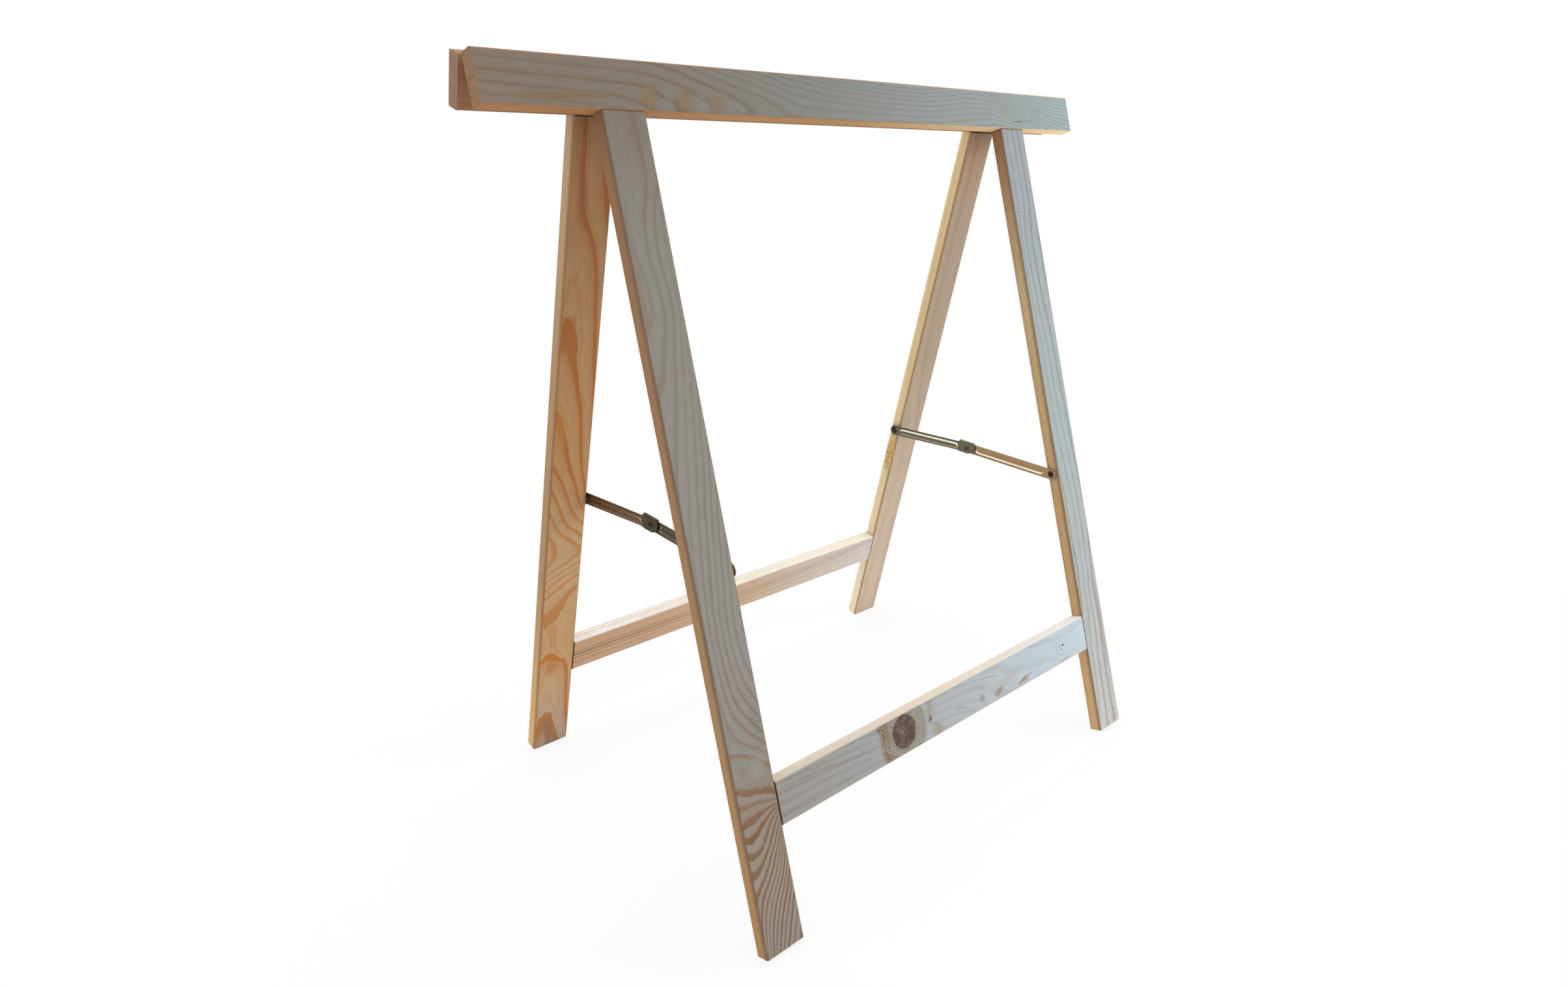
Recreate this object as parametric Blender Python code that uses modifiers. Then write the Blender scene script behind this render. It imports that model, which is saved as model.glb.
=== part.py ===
"""Folding pine work trestle: two hinged board frames, held open by two folding steel stays.

Metres, +Z up. X runs along the beams, -Y is the front frame's side, and the feet stand on Z = 0.
Each frame is modelled hanging straight down from the hinge axis and is then leaned out by its empty.
"""
import math

import bmesh
import bpy
import mathutils

# Driving sizes of the wooden frames
BEAM_LENGTH = 0.750
BEAM_WIDTH = 0.043
BOARD_THICKNESS = 0.016
LEG_LENGTH = 0.7315
LEG_WIDTH = 0.041
LEG_INSET = 0.098
STRETCHER_WIDTH = 0.041
STRETCHER_DROP = 0.587
ARRIS_RADIUS = 0.002
ARRIS_SEGMENTS = 3
OPENING_ANGLE = math.radians(31.4)

# Dowels of the butt joints
DOWEL_RADIUS = 0.004
DOWEL_LENGTH = 0.030
DOWEL_SPACING = 0.020
DOWEL_CHAMFER = 0.001

# Butt hinges between the two beams
HINGE_LENGTH = 0.040
LEAF_THICKNESS = 0.0015
BARREL_RADIUS = 0.003
PIN_RADIUS = 0.0015
PIN_HEAD_RADIUS = 0.0024
PIN_HEAD_HEIGHT = 0.0010
PIVOT_DROP = 0.001
HINGE_SCREW_EDGE = 0.008
HINGE_SCREW_HEAD_RADIUS = 0.0029
HINGE_SCREW_RADIUS = 0.0013
HINGE_SCREW_COVER = 0.0058

# Folding stays, one at each pair of legs
STAY_DROP = {"left": 0.3962, "right": 0.411}
STAY_OFFSET = -0.002
KNUCKLE_RISE = {"left": 0.0061, "right": 0.004}
STRIP_WIDTH = 0.0126
SHEET = 0.0012
BEAD_MARGIN = 0.0026
BEAD_HEIGHT = 0.0010
BEAD_SLOPE = 0.0015
BEAD_EYE_SETBACK = 0.0112
BEAD_KNUCKLE_SETBACK = 0.0147
HEAD_REACH = 0.0130
HEAD_DEPTH = 0.0072
HEAD_CORNER = 0.0018
HEAD_NECK = 0.0030
DISH_ROOM = 0.0004
DISH_SLOPE = 0.0011
EYE_RIM = 0.0013
EYE_SWELL = 0.0005
RIVET_RADIUS = 0.0020
RIVET_HEAD_RADIUS = 0.0031
RIVET_HEAD_HEIGHT = 0.0009
STAY_SCREW_RADIUS = 0.0016
STAY_SCREW_HEAD_RADIUS = 0.0032
STAY_SCREW_HEAD_HEIGHT = 0.0020
STAY_SCREW_LENGTH = 0.020

# Clearances
GAP = 0.0003
HOLE_CLEARANCE = 0.0002
OVERCUT = 0.001

# Sizes that follow from the ones above
LEAN = OPENING_ANGLE / 2
STANDOFF = BARREL_RADIUS + GAP
BOARD_MIDDLE = STANDOFF + BOARD_THICKNESS / 2
BEAM_TOP = PIVOT_DROP
BEAM_BOTTOM = BEAM_TOP - BEAM_WIDTH
LEG_FOOT = BEAM_BOTTOM - LEG_LENGTH
LEG_INNER = BEAM_LENGTH / 2 - LEG_INSET - LEG_WIDTH
LEG_MIDDLE = LEG_INNER + LEG_WIDTH / 2
STRETCHER_TOP = BEAM_BOTTOM - STRETCHER_DROP
STRETCHER_MIDDLE = STRETCHER_TOP - STRETCHER_WIDTH / 2
PIVOT_HEIGHT = -LEG_FOOT * math.cos(LEAN) - STANDOFF * math.sin(LEAN)
LEAF_TOP = -(BARREL_RADIUS + GAP)
LEAF_BOTTOM = BEAM_BOTTOM + DOWEL_LENGTH / 2
LEAF_MIDDLE = (LEAF_TOP + LEAF_BOTTOM) / 2
HINGE_SCREW_LENGTH = BOARD_THICKNESS + GAP + LEAF_THICKNESS - HINGE_SCREW_COVER
HINGE_SCREW_OFFSET = HINGE_LENGTH / 2 - HINGE_SCREW_EDGE
PLATE_STEP = SHEET + GAP
DISH_DEPTH = BEAD_HEIGHT + HOLE_CLEARANCE
DEEP_DISH_DEPTH = DISH_DEPTH + PLATE_STEP
NEAR_PLATE = GAP + DISH_DEPTH + SHEET / 2
FAR_PLATE = NEAR_PLATE + PLATE_STEP

FRAMES = {"rear": 1, "front": -1}
SIDES = {"left": -1, "right": 1}


def fold_radius(depth, slope):
    """How far the inside of a pressed wall stands in from its outside, for an even sheet."""
    return SHEET * math.tan(math.atan2(depth, slope) / 2)


def dish_radius(depth):
    """The outer radius of an eye's dish whose floor takes the screw head."""
    return STAY_SCREW_HEAD_RADIUS + DISH_ROOM + DISH_SLOPE + fold_radius(depth, DISH_SLOPE)


EYE_RADIUS = max(dish_radius(DEEP_DISH_DEPTH) + EYE_RIM, STRIP_WIDTH / 2 + EYE_SWELL)
BEAD_RADIUS = STRIP_WIDTH / 2 - BEAD_MARGIN


def start_scene():
    """Clear the scene and make one collection for the parts and one for the cutters."""
    for old in list(bpy.data.objects):
        bpy.data.objects.remove(old, do_unlink=True)
    made = []
    for name in ("work_trestle", "cutters"):
        collection = bpy.data.collections.new(name)
        bpy.context.scene.collection.children.link(collection)
        made.append(collection)
    return made


PARTS, CUTTERS = start_scene()


def finish(name, colour, roughness, metallic):
    """A plain Principled material."""
    material = bpy.data.materials.new(name)
    material.use_nodes = True
    shader = material.node_tree.nodes["Principled BSDF"]
    shader.inputs["Base Color"].default_value = (*colour, 1.0)
    shader.inputs["Roughness"].default_value = roughness
    shader.inputs["Metallic"].default_value = metallic
    return material


PINE_GREY = finish("pine_outer", (0.36, 0.34, 0.31), 0.62, 0.0)
PINE_WARM = finish("pine_inner", (0.60, 0.38, 0.20), 0.60, 0.0)
BEECH = finish("beech_dowel", (0.56, 0.38, 0.22), 0.65, 0.0)
ZINC = finish("yellow_zinc_steel", (0.42, 0.34, 0.20), 0.38, 0.9)
DARK_SCREW = finish("dark_screw", (0.10, 0.07, 0.05), 0.40, 0.85)


def place(obj, collection, parent, location=(0, 0, 0), rotation=(0, 0, 0)):
    """Link an object and set its place under its parent."""
    collection.objects.link(obj)
    obj.parent = parent
    obj.location = location
    obj.rotation_euler = rotation
    return obj


def empty(name, parent, location=(0, 0, 0), rotation=(0, 0, 0)):
    """An empty that carries a group of parts."""
    return place(bpy.data.objects.new(name, None), PARTS, parent, location, rotation)


def part(name, mesh, material, parent, location=(0, 0, 0), rotation=(0, 0, 0)):
    """A named sub-part with its own material."""
    mesh.name = name
    mesh.materials.append(material)
    return place(bpy.data.objects.new(name, mesh), PARTS, parent, location, rotation)


def cutter(name, mesh, parent, location=(0, 0, 0), rotation=(0, 0, 0)):
    """A hidden tool body for a Boolean."""
    obj = place(bpy.data.objects.new(name, mesh), CUTTERS, parent, location, rotation)
    obj.hide_render = True
    obj.display_type = "WIRE"
    return obj


def combine(obj, tool, operation="DIFFERENCE"):
    """Cut or join an object with a tool body."""
    boolean = obj.modifiers.new(tool.name, "BOOLEAN")
    boolean.operation = operation
    boolean.object = tool
    boolean.solver = "EXACT"
    return boolean


def mesh_from(bm, name):
    """Write a bmesh to a new mesh."""
    mesh = bpy.data.meshes.new(name)
    bm.to_mesh(mesh)
    bm.free()
    return mesh


def box(name, size):
    """A box about its own middle."""
    bm = bmesh.new()
    bmesh.ops.create_cube(bm, size=1.0)
    bmesh.ops.scale(bm, vec=size, verts=bm.verts)
    return mesh_from(bm, name)


def rod(name, radius, length, axis, sides=24):
    """A cylinder about its own middle, along X, Y or Z."""
    turn = {
        "X": mathutils.Matrix.Rotation(math.pi / 2, 4, "Y"),
        "Y": mathutils.Matrix.Rotation(math.pi / 2, 4, "X"),
        "Z": mathutils.Matrix.Identity(4),
    }[axis]
    bm = bmesh.new()
    bmesh.ops.create_cone(bm, cap_ends=True, segments=sides, radius1=radius, radius2=radius,
                          depth=length, matrix=turn)
    mesh = mesh_from(bm, name)
    mesh.shade_smooth()
    mesh.set_sharp_from_angle(angle=math.radians(35))
    return mesh


def loft(name, rings):
    """A closed body through rings of equally many points, with flat end caps."""
    bm = bmesh.new()
    rows = [[bm.verts.new(point) for point in ring] for ring in rings]
    count = len(rows[0])
    for lower, upper in zip(rows, rows[1:]):
        for i in range(count):
            j = (i + 1) % count
            bm.faces.new((lower[i], lower[j], upper[j], upper[i]))
    bm.faces.new(list(reversed(rows[0])))
    bm.faces.new(rows[-1])
    bmesh.ops.recalc_face_normals(bm, faces=bm.faces)
    return mesh_from(bm, name)


def turned(name, profile, material, parent, location, rotation, steps=24):
    """A turned piece: a profile of (radius, height) points run down its outer side."""
    mesh = bpy.data.meshes.new(name)
    points = [(radius, 0.0, height) for radius, height in profile]
    mesh.from_pydata(points, [(i, i + 1) for i in range(len(points) - 1)], [])
    obj = part(name, mesh, material, parent, location, rotation)
    screw = obj.modifiers.new("turn", "SCREW")
    screw.axis = "Z"
    screw.angle = math.tau
    screw.steps = steps
    screw.render_steps = steps
    screw.use_merge_vertices = True
    screw.merge_threshold = 0.00001
    screw.use_smooth_shade = True
    return obj


def board(name, size, long_axis, parent, location, material):
    """A planed board whose four long arrises are rounded, and whose sawn ends are sharp."""
    mesh = box(name, size)
    bm = bmesh.new()
    bm.from_mesh(mesh)
    weight = bm.edges.layers.float.new("bevel_weight_edge")
    for edge in bm.edges:
        run = edge.verts[0].co - edge.verts[1].co
        along = abs(run[long_axis]) > 0.5 * run.length
        edge[weight] = 1.0 if along else 0.0
    bm.to_mesh(mesh)
    bm.free()
    obj = part(name, mesh, material, parent, location)
    bevel = obj.modifiers.new("arrises", "BEVEL")
    bevel.limit_method = "WEIGHT"
    bevel.width = ARRIS_RADIUS
    bevel.segments = ARRIS_SEGMENTS
    return obj


def dowel(name, parent, location, along_x):
    """A chamfered dowel across a joint, with the hole that both boards get for it."""
    half = DOWEL_LENGTH / 2
    profile = [
        (0, half),
        (DOWEL_RADIUS - DOWEL_CHAMFER, half),
        (DOWEL_RADIUS, half - DOWEL_CHAMFER),
        (DOWEL_RADIUS, DOWEL_CHAMFER - half),
        (DOWEL_RADIUS - DOWEL_CHAMFER, -half),
        (0, -half),
    ]
    rotation = (0, math.pi / 2, 0) if along_x else (0, 0, 0)
    turned(name, profile, BEECH, parent, location, rotation, steps=16)
    hole = rod(name + "_hole", DOWEL_RADIUS + HOLE_CLEARANCE, DOWEL_LENGTH + 2 * GAP,
               "X" if along_x else "Z", 16)
    return cutter(name + "_hole", hole, parent, location)


def wooden_frame(which, sign):
    """One frame: a beam, two legs and a stretcher, doweled together, under its own empty."""
    frame = empty(which + "_frame", None, (0, 0, PIVOT_HEIGHT), (sign * LEAN, 0, 0))
    y = sign * BOARD_MIDDLE
    boards = {}
    beam_size = (BEAM_LENGTH, BOARD_THICKNESS, BEAM_WIDTH)
    beam_place = (0, y, BEAM_BOTTOM + BEAM_WIDTH / 2)
    boards["beam"] = board(which + "_beam", beam_size, 0, frame, beam_place, PINE_GREY)
    leg_top = BEAM_BOTTOM - GAP
    leg_size = (LEG_WIDTH, BOARD_THICKNESS, leg_top - LEG_FOOT)
    for side, hand in SIDES.items():
        leg_place = (hand * LEG_MIDDLE, y, (leg_top + LEG_FOOT) / 2)
        boards[side] = board(f"{which}_leg_{side}", leg_size, 2, frame, leg_place, PINE_WARM)
    stretcher_size = (2 * (LEG_INNER - GAP), BOARD_THICKNESS, STRETCHER_WIDTH)
    stretcher_place = (0, y, STRETCHER_MIDDLE)
    boards["stretcher"] = board(which + "_stretcher", stretcher_size, 0, frame,
                                stretcher_place, PINE_GREY)
    for side, hand in SIDES.items():
        for number, offset in enumerate((-DOWEL_SPACING / 2, DOWEL_SPACING / 2), 1):
            top = (hand * LEG_MIDDLE + offset, y, BEAM_BOTTOM - GAP / 2)
            hole = dowel(f"{which}_beam_dowel_{side}_{number}", frame, top, False)
            combine(boards["beam"], hole)
            combine(boards[side], hole)
            low = (hand * (LEG_INNER - GAP / 2), y, STRETCHER_MIDDLE + offset)
            hole = dowel(f"{which}_stretcher_dowel_{side}_{number}", frame, low, True)
            combine(boards["stretcher"], hole)
            combine(boards[side], hole)
    return frame, boards


def leaf(name, zones, frame, sign, x):
    """A hinge leaf: a plate on the beam's inner face, with its knuckles round the hinge axis."""
    y = sign * (STANDOFF - GAP - LEAF_THICKNESS / 2)
    mesh = box(name, (HINGE_LENGTH, LEAF_THICKNESS, LEAF_TOP - LEAF_BOTTOM))
    mesh.transform(mathutils.Matrix.Translation((0, y, LEAF_MIDDLE)))
    obj = part(name, mesh, ZINC, frame, (x, 0, 0))
    for number, (low, high) in enumerate(zones, 1):
        width = high - low
        tang = box("tang", (width, LEAF_THICKNESS, BARREL_RADIUS + 2 * GAP))
        tang_place = (x + (low + high) / 2, y, (LEAF_TOP - GAP) / 2)
        combine(obj, cutter(f"{name}_tang_{number}", tang, frame, tang_place), "UNION")
        barrel = rod("barrel", BARREL_RADIUS, width, "X", 28)
        barrel_place = (x + (low + high) / 2, 0, 0)
        combine(obj, cutter(f"{name}_barrel_{number}", barrel, frame, barrel_place), "UNION")
    bore = rod("bore", PIN_RADIUS + HOLE_CLEARANCE, HINGE_LENGTH + 2 * OVERCUT, "X", 24)
    combine(obj, cutter(name + "_bore", bore, frame, (x, 0, 0)))
    return obj


def hinge_screw(name, frame, sign, place_at, metal, beam):
    """A countersunk screw through a leaf into the beam, with its holes."""
    sink = HINGE_SCREW_HEAD_RADIUS - HINGE_SCREW_RADIUS
    profile = [
        (0, 0),
        (HINGE_SCREW_HEAD_RADIUS * 0.6, 0),
        (HINGE_SCREW_HEAD_RADIUS, -GAP / 2),
        (HINGE_SCREW_RADIUS, -sink - GAP / 2),
        (HINGE_SCREW_RADIUS, HINGE_SCREW_RADIUS * 2 - HINGE_SCREW_LENGTH),
        (0, -HINGE_SCREW_LENGTH),
    ]
    turn = (sign * math.pi / 2, 0, 0)
    turned(name, profile, ZINC, frame, place_at, turn, steps=16)
    room = HOLE_CLEARANCE
    edge = HINGE_SCREW_HEAD_RADIUS + room
    neck = HINGE_SCREW_RADIUS + room
    depth = HINGE_SCREW_LENGTH + GAP
    rings = []
    for radius, height in ((edge + OVERCUT, OVERCUT), (edge, 0), (neck, -(edge - neck)), (neck, -depth)):
        rings.append([(radius * math.cos(a), radius * math.sin(a), height) for a in round_angles(20)])
    hole = cutter(name + "_hole", loft("hole", rings), frame, place_at, turn)
    combine(metal, hole)
    combine(beam, hole)


def round_angles(count):
    """Evenly spaced angles round a circle."""
    return [math.tau * i / count for i in range(count)]


def butt_hinge(side, hand, frames, boards):
    """One butt hinge: two leaves, a pin and four screws."""
    x = hand * LEG_MIDDLE
    third = HINGE_LENGTH / 3
    half = HINGE_LENGTH / 2
    zones = {
        "rear": [(-half, -half + third - GAP), (half - third + GAP, half)],
        "front": [(-half + third, half - third)],
    }
    for which, sign in FRAMES.items():
        name = f"hinge_{side}_{which}_leaf"
        metal = leaf(name, zones[which], frames[which], sign, x)
        for number, offset in enumerate((-HINGE_SCREW_OFFSET, HINGE_SCREW_OFFSET), 1):
            screw_name = f"hinge_{side}_{which}_screw_{number}"
            place_at = (x + offset, sign * (STANDOFF - GAP - LEAF_THICKNESS), LEAF_MIDDLE)
            hinge_screw(screw_name, frames[which], sign, place_at, metal, boards[which]["beam"])
    end = half + GAP
    profile = [
        (0, end + PIN_HEAD_HEIGHT),
        (PIN_HEAD_RADIUS * 0.7, end + PIN_HEAD_HEIGHT),
        (PIN_HEAD_RADIUS, end + PIN_HEAD_HEIGHT / 2),
        (PIN_HEAD_RADIUS, end),
        (PIN_RADIUS, end),
        (PIN_RADIUS, -end),
        (PIN_HEAD_RADIUS, -end),
        (PIN_HEAD_RADIUS, -end - PIN_HEAD_HEIGHT / 2),
        (PIN_HEAD_RADIUS * 0.7, -end - PIN_HEAD_HEIGHT),
        (0, -end - PIN_HEAD_HEIGHT),
    ]
    turned(f"hinge_{side}_pin", profile, ZINC, frames["rear"], (x, 0, 0), (0, math.pi / 2, 0))


def arc(centre, reach, start, end, steps):
    """Points of an elliptical arc, angles in degrees, given as (forward, up)."""
    points = []
    for i in range(steps + 1):
        angle = math.radians(start + (end - start) * i / steps)
        points.append((centre[0] + reach[0] * math.cos(angle), centre[1] + reach[1] * math.sin(angle)))
    return points


def turn_points(points, centre, angle):
    """Points turned about a centre in the (forward, up) plane."""
    c, s = math.cos(angle), math.sin(angle)
    return [(centre[0] + c * p - s * q, centre[1] + s * p + c * q) for p, q in points]


def plate(name, outline):
    """Sheet metal cut to an outline of (forward, up) points, about the middle of its thickness."""
    curve = bpy.data.curves.new(name + "_outline", "CURVE")
    curve.dimensions = "2D"
    curve.fill_mode = "BOTH"
    curve.extrude = SHEET / 2
    spline = curve.splines.new("POLY")
    spline.points.add(len(outline) - 1)
    for point, (p, q) in zip(spline.points, outline):
        point.co = (p, q, 0.0, 1.0)
    spline.use_cyclic_u = True
    flat = place(bpy.data.objects.new(name + "_outline", curve), CUTTERS, None)
    bpy.context.view_layer.update()
    evaluated = flat.evaluated_get(bpy.context.evaluated_depsgraph_get())
    mesh = bpy.data.meshes.new_from_object(evaluated)
    bm = bmesh.new()
    bm.from_mesh(mesh)
    bmesh.ops.remove_doubles(bm, verts=bm.verts, dist=0.000001)
    bm.to_mesh(mesh)
    bm.free()
    bpy.data.objects.remove(flat, do_unlink=True)
    forward_up = mathutils.Matrix(((0, 0, -1, 0), (-1, 0, 0, 0), (0, 1, 0, 0), (0, 0, 0, 1)))
    mesh.transform(forward_up)
    return mesh


def slot_outline(start, end, radius, steps=8):
    """A slot from start to end along the arm, with round ends."""
    points = arc((end, 0), (radius, radius), -90, 90, steps)
    points += arc((start, 0), (radius, radius), 90, 270, steps)
    return points


def press(name, obj, pivot, start, end, radius, slope, depth, direction):
    """Press a flat-topped form out of a plate: the outer form is joined on, the inner one cut out."""
    corner = fold_radius(depth, slope)
    outer_steps = ((0, radius), (SHEET / 2, radius), (SHEET / 2 + depth, radius - slope))
    floor = depth - SHEET / 2
    inner_steps = ((-SHEET / 2 - OVERCUT, radius - corner), (-SHEET / 2, radius - corner),
                   (floor, radius - corner - slope))
    for label, steps, operation in (("outer", outer_steps, "UNION"), ("inner", inner_steps, "DIFFERENCE")):
        rings = []
        for level, wide in steps:
            outline = slot_outline(start, end, wide)
            rings.append([(direction * level, -p, q) for p, q in outline])
        tool = cutter(f"{name}_{label}", loft("form", rings), pivot, obj.location)
        combine(obj, tool, operation)


def head_outline(lip_line):
    """The widened knuckle head of the rear link, about the rivet, from its lower to its upper side."""
    middle = HEAD_DEPTH * 0.4
    corner = (HEAD_REACH - HEAD_CORNER, lip_line - HEAD_CORNER)
    points = [(-HEAD_REACH - HEAD_NECK, -STRIP_WIDTH / 2)]
    points.append((-HEAD_REACH, -HEAD_DEPTH))
    points += arc((0, middle), (HEAD_REACH, HEAD_DEPTH + middle), -90, 0, 10)
    points += arc(corner, (HEAD_CORNER, HEAD_CORNER), 30, 90, 3)
    points.append((-HEAD_REACH, lip_line))
    return points


def rear_link(name, arm, bend, pivot, near, toward_leg):
    """The rear stay link, with its eye, bead, knuckle head and folded lip."""
    half = STRIP_WIDTH / 2
    lip_line = half + GAP
    eye_start = math.degrees(math.asin(half / EYE_RADIUS))
    outline = arc((0, 0), (EYE_RADIUS, EYE_RADIUS), eye_start, 360 - eye_start, 20)
    outline += turn_points(head_outline(lip_line), (arm, 0), -bend)
    outline.append((arm - HEAD_REACH - GAP, half))
    obj = part(name, plate(name, outline), ZINC, pivot)
    lip_top = lip_line + SHEET
    reach = SHEET / 2 + GAP + SHEET + SHEET / 2
    section = [(reach, lip_line), (reach, lip_top)]
    section += arc((SHEET / 2, lip_line), (SHEET, SHEET), 90, 180, 5)
    section += [(-SHEET / 2, lip_line - SHEET), (SHEET / 2, lip_line - SHEET), (SHEET / 2, lip_line)]
    rings = []
    for forward in (-HEAD_REACH, HEAD_REACH - HEAD_CORNER):
        ring = []
        for across, up in section:
            (p, q), = turn_points([(forward, up)], (arm, 0), -bend)
            ring.append((across, -p, q))
        rings.append(ring)
    combine(obj, cutter(name + "_lip", loft("lip", rings), pivot), "UNION")
    finish_link(name, obj, arm, pivot, "rear", near, toward_leg)
    return obj


def front_link(name, arm, knuckle, near, toward_leg, x):
    """The front stay link, with its round tail at the rivet, its bead and its eye."""
    half = STRIP_WIDTH / 2
    eye_start = math.degrees(math.asin(half / EYE_RADIUS))
    outline = arc((0, 0), (half, half), 90, 270, 12)
    outline += arc((arm, 0), (EYE_RADIUS, EYE_RADIUS), eye_start - 180, 180 - eye_start, 20)
    obj = part(name, plate(name, outline), ZINC, knuckle, (x, 0, 0))
    finish_link(name, obj, arm, knuckle, "front", near, toward_leg)
    return obj


def finish_link(name, obj, arm, pivot, role, near, toward_leg):
    """Press the bead and the dished eye of a link, and bore its two holes."""
    x = obj.location[0]
    eye, rivet = (0, arm) if role == "rear" else (arm, 0)
    setbacks = {eye: BEAD_EYE_SETBACK, rivet: BEAD_KNUCKLE_SETBACK}
    start = setbacks[0] + BEAD_RADIUS
    end = arm - setbacks[arm] - BEAD_RADIUS
    direction = -1 if role == "rear" else 1
    press(name + "_bead", obj, pivot, start, end, BEAD_RADIUS, BEAD_SLOPE, BEAD_HEIGHT, direction)
    depth = DISH_DEPTH if near else DEEP_DISH_DEPTH
    press(name + "_dish", obj, pivot, eye, eye, dish_radius(depth), DISH_SLOPE, depth, toward_leg)
    long_enough = 4 * FAR_PLATE
    screw_hole = rod("screw_hole", STAY_SCREW_RADIUS + HOLE_CLEARANCE, long_enough, "X", 20)
    combine(obj, cutter(name + "_screw_hole", screw_hole, pivot, (x, -eye, 0)))
    rivet_hole = rod("rivet_hole", RIVET_RADIUS + HOLE_CLEARANCE, long_enough, "X", 20)
    combine(obj, cutter(name + "_rivet_hole", rivet_hole, pivot, (x, -rivet, 0)))


def rivet(name, pivot, location):
    """The tubular rivet at the knuckle, open at its rolled end."""
    upper = SHEET / 2 + HOLE_CLEARANCE
    lower = -(SHEET / 2 + PLATE_STEP + HOLE_CLEARANCE)
    bore = RIVET_RADIUS * 0.65
    rise = RIVET_HEAD_HEIGHT
    profile = [
        (0, upper - rise),
        (bore, upper - rise),
        (bore, upper + rise * 0.7),
        (bore + rise * 0.4, upper + rise),
        (RIVET_HEAD_RADIUS - rise * 0.3, upper + rise * 0.8),
        (RIVET_HEAD_RADIUS, upper + rise * 0.3),
        (RIVET_HEAD_RADIUS, upper),
        (RIVET_RADIUS, upper),
        (RIVET_RADIUS, lower),
        (RIVET_HEAD_RADIUS, lower),
        (RIVET_HEAD_RADIUS, lower - rise * 0.3),
        (RIVET_HEAD_RADIUS * 0.6, lower - rise),
        (0, lower - rise),
    ]
    turned(name, profile, ZINC, pivot, location, (0, -math.pi / 2, 0))


def stay_screw(name, parent, location, toward_leg, length):
    """A pan head wood screw with a cross recess. A short one ends before the leg."""
    top = STAY_SCREW_HEAD_HEIGHT
    tip = min(2 * STAY_SCREW_RADIUS, length / 3)
    profile = [
        (0, top),
        (STAY_SCREW_HEAD_RADIUS * 0.55, top * 0.93),
        (STAY_SCREW_HEAD_RADIUS * 0.88, top * 0.62),
        (STAY_SCREW_HEAD_RADIUS, top * 0.25),
        (STAY_SCREW_HEAD_RADIUS, 0),
        (STAY_SCREW_RADIUS, 0),
        (STAY_SCREW_RADIUS, tip - length),
        (STAY_SCREW_RADIUS * 0.3, -length),
        (0, -length),
    ]
    turn = (0, -toward_leg * math.pi / 2, 0)
    obj = turned(name, profile, DARK_SCREW, parent, location, turn)
    arm = STAY_SCREW_HEAD_RADIUS * 1.1
    blade = STAY_SCREW_HEAD_RADIUS * 0.26
    for number, size in enumerate(((arm, blade, top), (blade, arm, top)), 1):
        recess = cutter(f"{name}_recess_{number}", box("recess", size), parent, location, turn)
        lift = mathutils.Matrix.Translation((0, 0, top * 0.95))
        recess.data.transform(lift)
        combine(obj, recess)


def stay(side, hand, frames, boards):
    """One folding stay between a rear and a front leg."""
    out = -hand
    face = hand * LEG_INNER
    near_x = face + out * NEAR_PLATE
    far_x = face + out * FAR_PLATE
    rear_is_near = side == "left"
    rear_x = near_x if rear_is_near else far_x
    front_x = far_x if rear_is_near else near_x
    pivot_y = BOARD_MIDDLE + STAY_OFFSET
    pivot_z = BEAM_BOTTOM - STAY_DROP[side]
    half_span = pivot_y * math.cos(LEAN) - pivot_z * math.sin(LEAN)
    arm = math.hypot(half_span, KNUCKLE_RISE[side])
    slope = math.atan2(KNUCKLE_RISE[side], half_span)
    bend = 2 * slope
    stay_name = "stay_" + side
    pivot = empty(stay_name + "_rear_pivot", frames["rear"], (rear_x, pivot_y, pivot_z),
                  (-slope - LEAN, 0, 0))
    knuckle = empty(stay_name + "_knuckle", pivot, (0, -arm, 0), (bend, 0, 0))
    rear_link(stay_name + "_rear_link", arm, bend, pivot, rear_is_near, hand)
    front_link(stay_name + "_front_link", arm, knuckle, not rear_is_near, hand, front_x - rear_x)
    rivet(stay_name + "_rivet", pivot, (0, -arm, 0))
    seat = face + out * (GAP + SHEET + HOLE_CLEARANCE)
    stay_screw(stay_name + "_rear_screw", frames["rear"], (seat, pivot_y, pivot_z), hand,
               STAY_SCREW_LENGTH)
    stay_screw(stay_name + "_front_screw", knuckle, (seat - rear_x, -arm, 0), hand,
               SHEET + HOLE_CLEARANCE)
    pilot = rod("pilot", STAY_SCREW_RADIUS + HOLE_CLEARANCE, 2 * STAY_SCREW_LENGTH, "X", 20)
    hole = cutter(stay_name + "_pilot", pilot, frames["rear"], (face, pivot_y, pivot_z))
    combine(boards["rear"][side], hole)


def build():
    """The whole trestle, opened to its working angle."""
    frames = {}
    boards = {}
    for which, sign in FRAMES.items():
        frames[which], boards[which] = wooden_frame(which, sign)
    for side, hand in SIDES.items():
        butt_hinge(side, hand, frames, boards)
        stay(side, hand, frames, boards)


build()
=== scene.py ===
# %% [markdown]
# # A folding work trestle in bare pine
#
# The trestle is two flat frames of planed pine, hinged under the top edges of
# their beams and held apart by a folding steel stay at each end. Its solids
# come from the packed model, so this lesson is about what makes them look
# like the real thing: where the camera stood, the light, the growth rings
# that run through each board, and the plated steel.

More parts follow.
